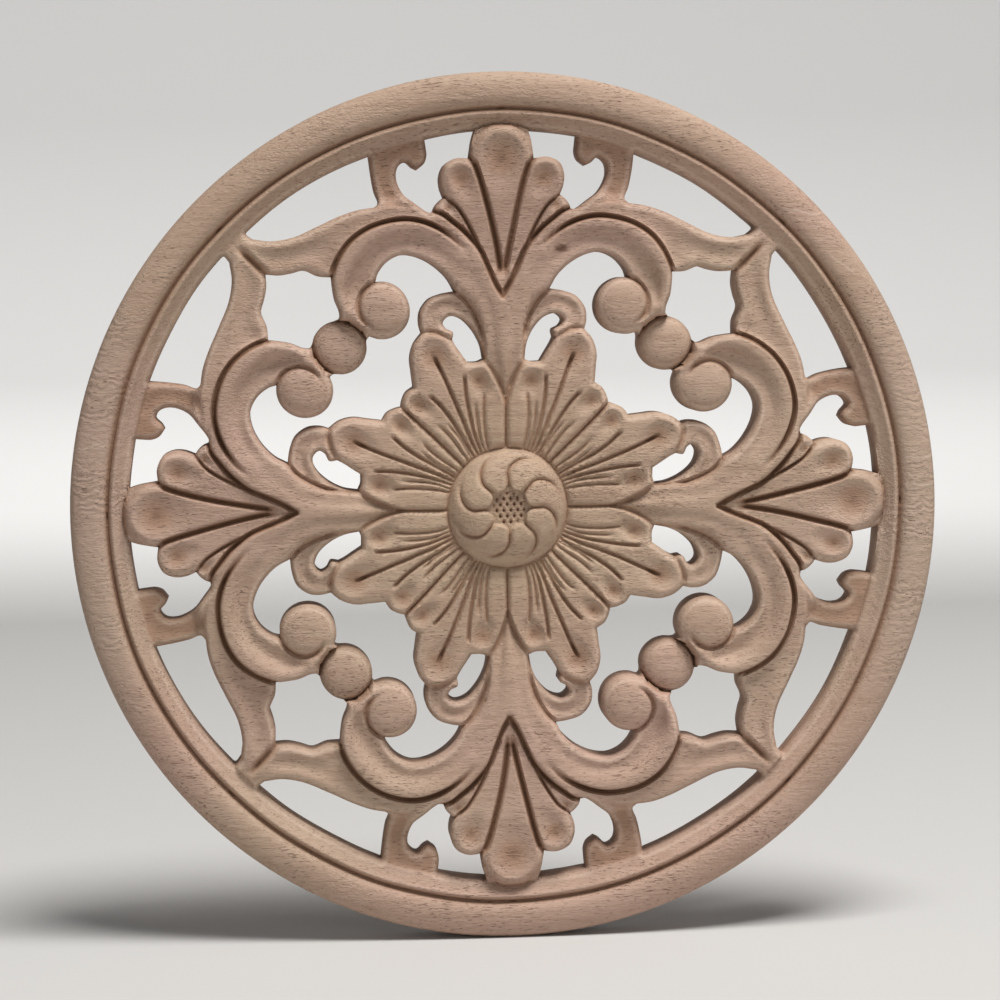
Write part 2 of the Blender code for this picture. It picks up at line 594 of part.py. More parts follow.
def build():
    for obj in list(bpy.data.objects):
        bpy.data.objects.remove(obj, do_unlink=True)

    pts, faces, loops, large, diagonal, rim, foot, holes = octant_plan()
    heights = relief(pts)
    back_pts, back_faces = back_plan(large, diagonal, rim, holes)
    dome_pts, dome_faces = dome_plan(foot)
    dome_heights = dome_height(dome_pts)
    on_foot = np.abs(np.hypot(pts[:, 0], pts[:, 1]) - DOME_RADIUS) < 1e-3
    heights[on_foot] = 8.7

    bm = bmesh.new()
    known = {}

    def vertex(u, v, h):
        key = (round(u, 5), round(v, 5), round(h, 5))
        if key not in known:
            known[key] = bm.verts.new((u * MM, -h * MM, v * MM))
        return known[key]

    def face(corners):
        if len(set(corners)) == 3:
            bm.faces.new(corners)

    borders = [rim, large, diagonal] + [hole + hole[:1] for hole in holes]
    top = {}
    for (u, v), h in zip(pts, heights):
        top[(round(u, 5), round(v, 5))] = float(h)
    for swap in (False, True):
        for a in (1.0, -1.0):
            for b in (1.0, -1.0):
                def place(u, v):
                    return (a * v, b * u) if swap else (a * u, b * v)

                flip = (a * b < 0.0) != swap
                for f in faces:
                    corners = [vertex(*place(*pts[i]), float(heights[i])) for i in f]
                    face(corners[::-1] if flip else corners)
                for f in back_faces:
                    corners = [vertex(*place(*back_pts[i]), 0.0) for i in f]
                    face(corners if flip else corners[::-1])
                for line in borders:
                    for p, q in zip(line, line[1:]):
                        hp = top[(round(p[0], 5), round(p[1], 5))]
                        hq = top[(round(q[0], 5), round(q[1], 5))]
                        p1 = vertex(*place(*p), hp)
                        q1 = vertex(*place(*q), hq)
                        p0 = vertex(*place(*p), 0.0)
                        q0 = vertex(*place(*q), 0.0)
                        face((p1, q1, q0))
                        face((p1, q0, p0))
    for f in dome_faces:
        face([vertex(*dome_pts[i], float(dome_heights[i])) for i in f])

    bmesh.ops.recalc_face_normals(bm, faces=bm.faces)
    mesh = bpy.data.meshes.new("wood_applique")
    bm.to_mesh(mesh)
    bm.free()
    obj = bpy.data.objects.new("wood_applique", mesh)
    bpy.context.scene.collection.objects.link(obj)

    wood = bpy.data.materials.new("pale_wood")
    wood.use_nodes = True
    shader = wood.node_tree.nodes["Principled BSDF"]
    shader.inputs["Base Color"].default_value = (0.36, 0.25, 0.18, 1.0)
    shader.inputs["Roughness"].default_value = 0.62
    shader.inputs["Metallic"].default_value = 0.0
    mesh.materials.append(wood)
    mesh.shade_smooth()
    mesh.set_sharp_from_angle(angle=math.radians(38.0))
    return obj


build()
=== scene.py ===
import math

import bpy
import bmesh
import numpy as np
from mathutils import Matrix, Vector
from mathutils.geometry import delaunay_2d_cdt


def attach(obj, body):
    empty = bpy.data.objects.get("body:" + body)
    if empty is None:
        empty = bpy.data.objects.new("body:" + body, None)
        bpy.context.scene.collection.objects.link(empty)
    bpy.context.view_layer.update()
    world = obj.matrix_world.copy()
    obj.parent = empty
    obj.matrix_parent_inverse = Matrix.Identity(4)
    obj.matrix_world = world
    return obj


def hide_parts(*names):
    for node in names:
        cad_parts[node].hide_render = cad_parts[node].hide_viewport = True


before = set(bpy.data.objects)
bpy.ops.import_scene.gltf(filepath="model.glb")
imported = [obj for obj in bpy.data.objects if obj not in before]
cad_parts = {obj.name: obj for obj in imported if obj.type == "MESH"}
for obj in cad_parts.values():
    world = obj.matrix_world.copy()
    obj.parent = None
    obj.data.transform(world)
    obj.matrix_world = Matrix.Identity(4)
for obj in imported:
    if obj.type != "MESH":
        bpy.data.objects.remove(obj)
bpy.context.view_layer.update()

# The plan is drawn in millimetres on one eighth of the disc (u right, v up, v >= u >= 0) and
# mirrored round the centre.  The relief height is measured forwards from the flat back.
MM = 0.001
DISC_RADIUS = 100.0
RING_INNER = 86.9

# Half width of the middle lobe, the ball at each scroll's end, the knob on each diagonal, and how
# far both balls fall from their tops to their edges
LOBE_HALF = 7.6
BALL_CENTRE = (28.0, 46.0)
BALL_RADIUS = 6.6
BALL_TOP = 12.2
KNOB_CENTRE = (37.5, 37.5)
KNOB_RADIUS = 6.2
KNOB_TOP = 9.9
BALL_FALL = 2.0

# Dome, the ditch round its foot, its petals and the seed disc between them
DOME_RADIUS = 13.9
DOME_HEIGHT = 14.3
DOME_FALL = 4.6
DOME_FLAT = 4.0
FOOT_HEIGHT = 9.1
DITCH_DEPTH = 1.1
DITCH_HALF = 1.1
PETALS = 8
PETAL_HEAD_PLACE = 7.3
PETAL_HEAD_RADIUS = 2.75
PETAL_CUT_DEPTH = 1.15
PETAL_CUT_HALF = 1.1
SEED_DEPTH = 1.7
SEED_SWELL = 0.4
SEED_HOLE_DEPTH = 0.8
SEED_PITCH = (1.61, 2.72)
SEED_SHIFT = (0.4, -0.5)

# Rounded edges: drop at the outline, how far the outlines act, and the width of the rounded
# border on each kind of piece
EDGE_ROUND = 1.5
EDGE_REACH = 2.0
BORDER = 1.2
BAND_BORDER = 1.4
LEAF_BORDER = 1.5
LOBE_BORDER = 1.9

# Width over which the carved pieces run into the ring
SEAM = 0.5

# Fineness of the carved surface: spacing and turn along the outlines, spacing along the cuts and
# beside them, spacing between the lines, and sides of the ring and of the dome's foot on one eighth
STEP = 0.62
TURN = math.radians(14.0)
CUT_STEP = 0.5
BESIDE_STEP = 0.55
FILL = 0.64
RING_SIDES = 60
FOOT_SIDES = 20

# Ring section from the inner edge outwards, in smooth stretches: radius and height
RING_SECTION = [
    [(RING_INNER, 8.7), (88.2, 8.95), (89.4, 9.8), (90.3, 10.65)],
    [(90.3, 10.65), (90.95, 10.1), (91.6, 8.8)],
    [(91.6, 8.8), (92.25, 10.2), (93.1, 10.95), (94.4, 11.2), (95.6, 11.15), (97.0, 10.95),
     (98.4, 10.5), (99.4, 9.8), (DISC_RADIUS, 8.6)],
]
# Radii of the rows of points across the ring
RING_ROWS = [87.25, 87.7, 88.3, 89.0, 89.7, 90.1, 90.4, 90.75, 91.1, 91.4, 91.6, 91.85, 92.15, 92.6,
             93.4, 94.6, 96.0, 97.3, 98.3, 99.0, 99.5, 99.85]

# Corner points shared by the outlines
LOBE_CORNER = (5.986, 86.694)
LOBE_FOOT = (7.3, 80.1)
LOBE_NOTCH = (13.4, 71.5)
BAND_NOTCH = (15.9, 68.3)
HOOK_FOOT = (29.2, 69.7)
LEAF_NOTCH = (57.2, 62.4)
CURL_NOTCH = (11.9, 39.0)
LEAF_TIP = (18.8, 40.8)
LEAF_CROTCH = (20.8, 28.4)
ARM_NOTCH = (10.8, 50.2)
BAND_END = (39.3, 53.8)


def polar(radius, degrees, centre=(0.0, 0.0)):
    angle = math.radians(degrees)
    return (centre[0] + radius * math.sin(angle), centre[1] + radius * math.cos(angle))


def arc(centre, radius, start, stop, count=9):
    """Points on a circle; angles in degrees, clockwise from +v."""
    return [polar(radius, start + (stop - start) * i / (count - 1), centre) for i in range(count)]


# Openings: closed chains of smooth pieces, one piece per line of the carving
HOOK_OPENING = [
    arc((0.0, 0.0), RING_INNER, 3.95, 11.6, 4),
    [polar(RING_INNER, 11.6), (17.2, 83.0), (17.1, 81.3), (17.7, 79.6), (19.4, 78.2)],
    [(19.4, 78.2), (20.6, 78.8), (22.2, 80.1), (23.9, 78.9), (24.3, 76.2), (22.6, 72.4), (20.0, 70.2)],
    [(20.0, 70.2), (18.2, 68.8), (16.9, 68.1), BAND_NOTCH],
    [BAND_NOTCH, (15.4, 69.5), (14.5, 70.6), LOBE_NOTCH],
    [LOBE_NOTCH, (14.2, 73.8), (14.3, 76.4), (13.1, 79.0), (10.4, 80.3), LOBE_FOOT],
    [LOBE_FOOT, (7.0, 82.0), (6.6, 84.5), polar(RING_INNER, 3.95)],
]
CRESCENT_OPENING = [
    arc((0.0, 0.0), RING_INNER, 20.6, 41.6, 7),
    [polar(RING_INNER, 41.6), (58.7, 63.8), LEAF_NOTCH],
    [LEAF_NOTCH, (53.0, 61.8), (48.0, 62.6), (42.0, 65.3), (37.0, 67.7), (33.0, 69.1), HOOK_FOOT],
    [HOOK_FOOT, (28.3, 70.7), (29.3, 73.5), (30.1, 77.5), polar(RING_INNER, 20.6)],
]
CURL_OPENING = [
    [(4.7, 34.2), (6.2, 33.6), (8.6, 33.6)],
    [(8.6, 33.6), (9.9, 35.6), (11.2, 37.6), CURL_NOTCH],
    [CURL_NOTCH, (11.7, 40.8), (13.3, 41.8), (13.9, 43.1), (12.4, 44.5), (9.8, 43.9), (7.2, 41.3),
     (5.3, 37.6), (4.7, 34.2)],
]
# Outlines that run from one diagonal point to another
LARGE_OPENING = [
    [(23.8, 23.8), (23.5, 25.2), (22.5, 27.2), LEAF_CROTCH],
    [LEAF_CROTCH, (21.2, 31.8), (21.5, 35.2), (20.6, 38.4), LEAF_TIP],
    [LEAF_TIP, (19.3, 42.8), (19.0, 45.7), (16.9, 48.5), (13.9, 49.7), ARM_NOTCH],
    [ARM_NOTCH, (12.4, 53.1), (15.6, 56.1), (19.6, 58.1), (23.2, 58.5), (26.4, 57.0), (28.6, 54.3),
     polar(BALL_RADIUS, 10.0, BALL_CENTRE)],
    arc(BALL_CENTRE, BALL_RADIUS, 10.0, -205.0, 13),
    [polar(BALL_RADIUS, -205.0, BALL_CENTRE), (31.3, 39.4), polar(KNOB_RADIUS, -80.0, KNOB_CENTRE)],
    arc(KNOB_CENTRE, KNOB_RADIUS, -80.0, -135.0, 5),
]
DIAGONAL_OPENING = [
    arc(KNOB_CENTRE, KNOB_RADIUS, 45.0, 10.0, 4),
    [polar(KNOB_RADIUS, 10.0, KNOB_CENTRE), (37.5, 44.2), (37.5, 45.7), (38.6, 48.6), (39.1, 51.6),
     BAND_END],
    [BAND_END, (42.3, 54.0), (45.6, 55.2), (48.4, 54.5), (51.2, 54.0), (54.2, 54.2)],
]

# Where the tail of a scroll wraps over its ball
BALL_LINE = [(29.2, 52.5), (31.0, 51.5), (32.5, 49.8), (33.3, 47.7), (33.2, 45.6), (32.1, 43.7),
             (30.2, 42.5)]

# Carved lines: name, points, depth, half width, fade at the start, fade at the end
CUTS = [
    ("lobe line", [LOBE_FOOT, (6.2, 78.6), (5.1, 75.5), (3.9, 71.0), (2.7, 66.0), (1.6, 60.8),
                   (0.8, 56.4), (0.3, 52.6)], 1.8, 0.95, 0.0, 0.1),
    ("side line", [LOBE_NOTCH, (10.9, 69.6), (9.0, 67.0), (7.5, 64.4), (6.2, 61.8), (5.2, 59.4)],
     1.4, 0.62, 0.0, 0.0),
    ("palmette foot", [BAND_NOTCH, (13.9, 67.7), (11.8, 66.1), (9.4, 64.2), (7.2, 62.0), (5.2, 59.4),
                       (3.9, 56.6), (2.7, 53.8), (1.4, 51.0), (0.0, 48.6)], 1.9, 0.85, 0.0, 0.0),
    ("tip line", [LOBE_CORNER, (4.7, 87.3), (2.6, 87.7), (0.0, 87.8)], 0.5, 0.8, 0.0, 0.0),
    ("scroll line", [(8.2, 59.2), (11.2, 62.0), (14.4, 64.3), (18.0, 65.9), (22.0, 66.7), (26.4, 66.3),
                     (30.6, 64.9), (34.4, 62.3), (37.2, 58.8), (38.8, 55.6), BAND_END],
     2.2, 0.85, 0.25, 0.0),
    ("hook foot", [(19.3, 69.4), (22.4, 69.8), (26.0, 70.3), HOOK_FOOT], 0.6, 0.9, 0.5, 0.0),
    ("ball line", BALL_LINE, 1.1, 0.85, 0.0, 0.2),
    ("knob line", arc(KNOB_CENTRE, KNOB_RADIUS, -75.0, 5.0), 0.9, 0.9, 0.0, 0.0),
    ("arm line", [(4.7, 34.4), (4.8, 38.0), (5.5, 42.0), (6.8, 45.4), (8.6, 48.2), ARM_NOTCH],
     1.2, 0.8, 0.0, 0.0),
    ("curl foot", [CURL_NOTCH, (14.4, 40.4), (17.0, 41.0), LEAF_TIP], 1.0, 0.9, 0.0, 0.0),
    ("stem foot", [(0.0, 24.4), (0.8, 27.0), (2.0, 29.9), (3.4, 32.4), (4.8, 34.0)], 1.0, 0.8, 0.0, 0.0),
    ("leaf axis", [(0.0, 25.2), (0.0, 14.2)], 1.4, 0.7, 0.0, 0.0),
    ("vein a", [(4.9, 26.8), (5.1, 22.0), (4.7, 16.6), (4.1, 13.8)], 0.9, 0.55, 0.1, 0.0),
    ("vein b", [(6.9, 24.8), (6.6, 20.3), (5.9, 16.1), (5.0, 13.6)], 0.8, 0.5, 0.2, 0.0),
    ("vein c", [(9.4, 31.0), (9.1, 26.5), (8.2, 21.3), (7.2, 17.0), (5.9, 13.3)], 1.1, 0.6, 0.05, 0.0),
    ("vein d", [(16.4, 35.6), (14.5, 31.5), (12.5, 26.8), (11.0, 23.2), (9.6, 19.8), (8.3, 16.4),
                (6.7, 12.9)], 1.2, 0.65, 0.08, 0.0),
    ("vein e", [(17.5, 26.6), (14.8, 23.8), (12.8, 21.1), (11.2, 18.6), (9.7, 15.9), (7.6, 12.4)],
     1.2, 0.65, 0.05, 0.0),
    ("vein f", [(13.6, 19.9), (11.9, 17.9), (10.4, 15.8), (8.3, 12.0)], 0.8, 0.5, 0.2, 0.0),
    ("vein g", [(16.1, 19.7), (14.2, 18.2), (12.5, 16.3), (9.1, 11.5)], 0.9, 0.55, 0.2, 0.0),
    ("vein h", [(23.4, 23.4), (10.0, 10.0)], 1.4, 0.75, 0.0, 0.0),
    ("leaf fold", [(54.4, 54.4), (57.5, 57.3), (61.2, 61.0)], 1.5, 1.35, 0.0, 0.35),
]

# Scoops at the lobes' and leaves' ends: name, centre, reach across and along, lean in degrees, depth
SCOOPS = [
    ("middle lobe", (0.0, 80.4), 5.3, 5.6, 0.0, 1.2),
    ("side lobe", (9.5, 75.6), 3.0, 3.7, 20.0, 1.0),
    ("small lobe", (12.5, 69.4), 1.3, 1.7, 45.0, 0.8),
    ("leaf a", (6.0, 29.4), 2.6, 3.1, 22.0, 1.1),
    ("leaf b", (16.0, 35.2), 3.6, 4.4, 25.0, 0.9),
    ("leaf c", (19.8, 24.3), 2.3, 3.0, 50.0, 1.1),
]

# Long shallow hollows: name, points, depth, half width
HOLLOWS = [
    ("curl", [(6.4, 41.6), (8.0, 45.0), (10.8, 47.0), (13.8, 47.2), (16.2, 45.4), (16.6, 42.8)],
     0.7, 1.6),
    ("hook", [(26.4, 73.0), (27.2, 77.0), (26.0, 80.6), (22.4, 82.6)], 0.4, 2.4),
    ("scroll", [(10.6, 56.6), (13.0, 58.8), (17.0, 61.0), (22.0, 61.8), (27.0, 60.8), (31.0, 57.6),
                (34.0, 53.4), (35.8, 48.6), (34.8, 46.0)], 0.7, 3.0),
    ("leaf band", [(39.6, 61.4), (43.0, 59.7), (47.0, 58.4), (51.0, 57.7), (56.4, 57.6)], 0.45, 2.6),
]

# Crests and middles of the carved pieces, as points with their heights
SPINES = [
    # palmette lobes
    [(0.0, 87.4, 11.6), (0.0, 76.0, 11.5), (0.0, 64.0, 11.2), (0.0, 51.0, 10.4)],
    [(11.0, 79.0, 11.5), (8.0, 71.0, 11.3), (5.2, 63.0, 11.0), (2.4, 56.0, 10.6)],
    [(13.8, 70.0, 11.2), (10.8, 67.4, 11.1), (8.6, 64.8, 10.9), (6.8, 62.4, 10.7)],
    # scroll: outer band, crest and inner edge of the main band
    [(0.9, 47.6, 12.1), (3.4, 52.6, 12.1), (5.4, 57.4, 12.1), (8.6, 61.2, 12.0), (12.0, 64.4, 11.8),
     (16.0, 67.0, 11.4), (20.0, 68.4, 11.1), (25.0, 68.8, 10.8), (29.5, 67.9, 10.5), (34.0, 65.8, 10.2)],
    [(36.0, 64.2, 10.0), (38.6, 61.4, 9.7), (40.6, 57.2, 9.4)],
    [(9.4, 58.8, 12.0), (14.0, 62.2, 12.1), (19.0, 64.3, 12.2), (24.0, 64.8, 12.3), (29.0, 63.8, 12.3),
     (33.0, 61.4, 12.3), (36.2, 57.4, 12.3), (37.6, 53.0, 12.2), (37.0, 49.0, 12.1), (35.4, 45.8, 12.0),
     (33.4, 43.3, 11.7), (30.6, 41.9, 11.2)],
    [(35.4, 43.6, 10.9), (33.0, 41.4, 10.7), (30.4, 40.4, 10.6)],
    [(6.4, 50.0, 11.6), (9.4, 53.2, 11.5), (12.0, 55.4, 11.4), (16.0, 58.0, 11.3), (21.0, 59.9, 11.2),
     (25.8, 59.0, 11.0), (29.8, 56.0, 10.7), (32.4, 53.2, 10.3), (34.8, 50.0, 10.3), (35.2, 47.2, 10.9)],
    # leaf band and the fold on the diagonal
    [(42.0, 60.4, 9.8), (46.0, 59.4, 9.7), (50.0, 58.4, 9.7), (54.4, 58.4, 9.8)],
    [(40.0, 65.0, 10.1), (46.0, 62.0, 10.1), (52.0, 60.4, 10.1), (57.0, 61.0, 10.0)],
    [(42.0, 55.6, 9.8), (46.0, 56.8, 9.9), (51.0, 55.8, 9.9), (54.6, 56.0, 10.0)],
    [(56.4, 60.6, 9.8), (60.4, 64.4, 9.2)],
    # hook and curl, the lowest pieces
    [(19.0, 80.6, 7.4), (19.8, 83.0, 7.5), (23.4, 82.6, 7.6), (26.6, 80.0, 7.6), (27.4, 76.4, 7.5),
     (25.8, 72.8, 7.4)],
    [(5.8, 40.6, 9.9), (8.0, 45.4, 9.9), (11.0, 47.6, 9.9), (14.6, 47.8, 9.8), (17.2, 45.2, 9.7),
     (17.0, 42.4, 9.5)],
    # stem
    [(0.0, 47.6, 12.2), (0.0, 42.0, 12.0), (0.0, 36.0, 11.7), (0.0, 31.0, 10.8), (0.0, 26.4, 9.4)],
    [(4.6, 47.0, 11.6), (3.6, 42.0, 11.4), (3.2, 37.0, 11.0), (2.2, 32.8, 10.1), (0.9, 28.4, 9.3)],
    # rosette leaves
    [(0.5, 23.0, 10.9), (1.2, 25.6, 11.0), (2.1, 28.0, 11.0), (3.3, 30.4, 11.0), (4.8, 32.2, 11.0),
     (6.6, 32.5, 11.0), (8.4, 31.8, 11.0)],
    [(3.0, 25.0, 10.9), (2.6, 18.0, 10.7), (2.3, 14.6, 10.2)],
    [(10.0, 33.4, 11.0), (11.8, 36.6, 11.0), (14.4, 38.8, 11.0), (17.6, 39.4, 11.0), (19.8, 36.6, 11.0),
     (20.0, 31.6, 11.0)],
    [(13.6, 33.0, 11.0), (10.6, 25.0, 10.9), (8.4, 18.0, 10.7), (6.6, 14.0, 10.2)],
    [(17.4, 31.6, 11.0), (13.4, 24.6, 10.9), (10.8, 19.6, 10.7), (8.2, 14.2, 10.3)],
    [(18.2, 26.6, 11.0), (20.8, 27.2, 11.0), (22.8, 25.2, 11.0), (22.8, 23.6, 11.0)],
    [(17.4, 22.4, 10.9), (13.6, 17.4, 10.7), (10.4, 12.2, 10.2)],
]

# Line between two petals of the whirl: radius and degrees
WHIRL = [(5.0, 0.0), (6.6, -0.4), (8.2, -0.4), (9.75, 4.6), (11.0, 12.3), (11.9, 20.7), (12.5, 30.0),
         (13.0, 41.0)]
# Tip of the middle lobe, where it meets the ring
LOBE_TIP = [(0.0, 87.8), (2.6, 87.7), (4.7, 87.3), LOBE_CORNER]

# Colours of the wood: two main tints and the yellower middle, the drawing of the grain, the end
# grain and the painted shade on the left, the painted highlights on edges and torn fibres, the
# tool burn and painted shade in the hollows, pores, and the knot and the painted shade patch
PINK_WOOD = (0.485, 0.325, 0.26, 1.0)
WARM_WOOD = (0.465, 0.34, 0.25, 1.0)
MIDDLE_WOOD = (0.465, 0.345, 0.232, 1.0)
BAND_BROWN = (0.385, 0.262, 0.19, 1.0)
STREAK_BROWN = (0.34, 0.22, 0.155, 1.0)
FIBRE_PALE = (0.58, 0.44, 0.35, 1.0)
END_GRAIN = (0.44, 0.335, 0.265, 1.0)
LEFT_PAINTED_SHADE = (0.24, 0.16, 0.115, 1.0)
EDGE_PAINTED_HIGHLIGHT = (0.70, 0.55, 0.44, 1.0)
TORN_FIBRE_HIGHLIGHT = (0.62, 0.5, 0.41, 1.0)
HOLLOW_BURN_AND_SHADE = (0.34, 0.19, 0.115, 1.0)
DEEP_BURN_AND_SHADE = (0.165, 0.085, 0.047, 1.0)
PORE_BROWN = (0.13, 0.065, 0.042, 1.0)
KNOT_AND_SHADE_BROWN = (0.12, 0.06, 0.035, 1.0)

# A small dark knot and a brown patch of painted shade over the top lobe and hooks: place, how fast they
# fade along each axis, strength
KNOT_AND_SHADE_SPOTS = [
    ((0.0133, -0.011, 0.0595), (400.0, 400.0, 800.0), 0.95),
    ((0.0, -0.009, 0.0740), (22.0, 40.0, 42.0), 0.2),
]
# Torn fibres that catch the light on the ring: left end and right end of each, x and z
TEARS = [
    ((0.0922, 0.0096), (0.0998, 0.0101)),
    ((0.0922, 0.0036), (0.0998, 0.0034)),
    ((0.0645, 0.0677), (0.0752, 0.0664)),
    ((0.0752, 0.0570), (0.0814, 0.0525)),
    ((-0.0992, 0.0150), (-0.0905, 0.0166)),
]
TEAR_WAVE = 0.003


def smooth(points, per_span=8):
    """Centripetal spline through the points as a dense polyline."""
    if len(points) < 3:
        return [tuple(p) for p in points]
    knots = [np.array(p, dtype=float) for p in points]
    knots = [2.0 * knots[0] - knots[1]] + knots + [2.0 * knots[-1] - knots[-2]]
    line = []
    for i in range(1, len(knots) - 2):
        p0, p1, p2, p3 = knots[i - 1:i + 3]
        t1 = math.sqrt(np.linalg.norm(p1 - p0))
        t2 = t1 + math.sqrt(np.linalg.norm(p2 - p1))
        t3 = t2 + math.sqrt(np.linalg.norm(p3 - p2))
        for k in range(per_span):
            t = t1 + (t2 - t1) * k / per_span
            a1 = p0 * (t1 - t) / t1 + p1 * t / t1
            a2 = p1 * (t2 - t) / (t2 - t1) + p2 * (t - t1) / (t2 - t1)
            a3 = p2 * (t3 - t) / (t3 - t2) + p3 * (t - t2) / (t3 - t2)
            b1 = a1 * (t2 - t) / t2 + a2 * t / t2
            b2 = a2 * (t3 - t) / (t3 - t1) + a3 * (t - t1) / (t3 - t1)
            line.append(tuple(b1 * (t2 - t) / (t2 - t1) + b2 * (t - t1) / (t2 - t1)))
    line.append(tuple(points[-1]))
    return line


def spaced(line, step, turn):
    """Fewer points along a dense polyline: new ones after a set length or a set turn."""
    pts = [np.array(p) for p in line]
    total = sum(np.linalg.norm(b - a) for a, b in zip(pts, pts[1:]))
    run = 0.0
    bend = 0.0
    chosen = []
    for i in range(1, len(pts) - 1):
        a = pts[i] - pts[i - 1]
        b = pts[i + 1] - pts[i]
        run += np.linalg.norm(a)
        cross = a[0] * b[1] - a[1] * b[0]
        bend += abs(math.atan2(cross, float(np.dot(a, b))))
        if run + bend * step / turn >= step:
            chosen.append(tuple(pts[i]))
            run = 0.0
            bend = 0.0
    if chosen and total > 0.0 and run < 0.35 * step and bend < 0.35 * turn:
        chosen.pop()
    return [tuple(line[0])] + chosen + [tuple(line[-1])]


def nearest(points, line):
    """Distance from every point to a polyline and the share of its length at the nearest place."""
    best = np.full(len(points), 1e9)
    share = np.zeros(len(points))
    lengths = [math.dist(a[:2], b[:2]) for a, b in zip(line, line[1:])]
    total = sum(lengths)
    run = 0.0
    for a, b, length in zip(line, line[1:], lengths):
        if length < 1e-9:
            continue
        ax, ay = a[:2]
        dx = (b[0] - ax) / length
        dy = (b[1] - ay) / length
        px = points[:, 0] - ax
        py = points[:, 1] - ay
        t = np.clip(px * dx + py * dy, 0.0, length)
        d = np.hypot(px - t * dx, py - t * dy)
        closer = d < best
        best = np.where(closer, d, best)
        share = np.where(closer, (run + t) / total, share)
        run += length
    return best, share


def within(points, line, reach):
    """Indices of the points closer to a polyline than the reach, their distances and shares."""
    low = np.min(line, axis=0) - reach
    high = np.max(line, axis=0) + reach
    near = np.nonzero(((points > low) & (points < high)).all(axis=1))[0]
    distance, share = nearest(points[near], line)
    close = distance < reach
    return near[close], distance[close], share[close]


def inside(points, loops):
    """Even-odd test of points against closed loops."""
    hit = np.zeros(len(points), dtype=bool)
    x = points[:, 0]
    y = points[:, 1]
    for loop in loops:
        for (ax, ay), (bx, by) in zip(loop, loop[1:] + loop[:1]):
            if ay == by:
                continue
            spans = (y >= min(ay, by)) & (y < max(ay, by))
            hit ^= spans & (x < ax + (y - ay) * (bx - ax) / (by - ay))
    return hit


OPENINGS = (HOOK_OPENING, CRESCENT_OPENING, CURL_OPENING, LARGE_OPENING, DIAGONAL_OPENING)
OUTLINES = [smooth(piece) for opening in OPENINGS for piece in opening]
# Width of the rounded border along each piece of the outlines, opening by opening
BORDERS = [BORDER] * 4 + [LOBE_BORDER] * 3
BORDERS += [BORDER] * 4
BORDERS += [LEAF_BORDER, LEAF_BORDER, BORDER]
BORDERS += [LEAF_BORDER, LEAF_BORDER, BORDER, BORDER, BAND_BORDER, BORDER, BAND_BORDER]
BORDERS += [BAND_BORDER, BORDER, BORDER]
CUT_LINES = [smooth(cut[1]) for cut in CUTS]
HOLLOW_LINES = [smooth(hollow[1]) for hollow in HOLLOWS]
SPINE_LINES = [smooth(spine, 4) for spine in SPINES]
RING_LINE = [p for piece in RING_SECTION for p in smooth(piece)]
TIP_LINE = smooth(LOBE_TIP)
TIP_AREA = TIP_LINE + [(6.6, 84.0), (0.0, 84.0)]
TAIL_AREA = smooth(BALL_LINE) + [(30.0, 39.0), (31.6, 40.2), (33.6, 42.3), (36.0, 43.8), (42.0, 45.0),
                                 (42.0, 56.0), (29.4, 56.0)]
WHIRL_LINES = [smooth([polar(r, a + k * 360.0 / PETALS) for r, a in WHIRL]) for k in range(PETALS)]


def round_over(share):
    """Drop of a rounded edge, from the share of its width between a point and the outline."""
    inset = np.clip(1.0 - share, 0.0, 1.0)
    return EDGE_ROUND * (0.5 * (1.0 - np.sqrt(1.0 - inset ** 2)) + 0.42 * inset ** 1.3)


def body_height(points):
    """Height of the carved pieces before their edges are rounded and the lines are cut."""
    total = np.zeros(len(points))
    weight = np.zeros(len(points))
    for line in SPINE_LINES:
        distance, share = nearest(points, line)
        run = np.cumsum([0.0] + [math.dist(a[:2], b[:2]) for a, b in zip(line, line[1:])])
        w = 1.0 / (0.8 + distance) ** 4
        total += w * np.interp(share, run / run[-1], [p[2] for p in line])
        weight += w
    height = total / weight
    for line, (_, _, depth, half) in zip(HOLLOW_LINES, HOLLOWS):
        near, distance, share = within(points, line, half)
        fade = np.clip(np.minimum(share, 1.0 - share) / 0.25, 0.0, 1.0)
        height[near] -= depth * fade * (2.0 - fade) * (1.0 - (distance / half) ** 2) ** 1.4
    for _, centre, across, along, lean, depth in SCOOPS:
        c, s = math.cos(math.radians(lean)), math.sin(math.radians(lean))
        u, v = points[:, 0] - centre[0], points[:, 1] - centre[1]
        reach = (s * u + c * v) / along
        reach = np.where(reach < 0.0, reach / 1.7, reach)
        q = ((c * u - s * v) / across) ** 2 + reach ** 2
        power = 1.1 + 0.6 * np.clip(0.2 - reach, 0.0, 1.0)
        height -= depth * np.clip(1.0 - q, 0.0, 1.0) ** power
    tail = inside(points, [TAIL_AREA])
    for centre, radius, top in ((BALL_CENTRE, BALL_RADIUS, BALL_TOP), (KNOB_CENTRE, KNOB_RADIUS, KNOB_TOP)):
        d = np.hypot(points[:, 0] - centre[0], points[:, 1] - centre[1])
        domed = top - BALL_FALL * np.minimum(d / radius, 1.0) ** 3
        height = np.where((d < radius + 0.2) & ~tail, domed, height)
    return height


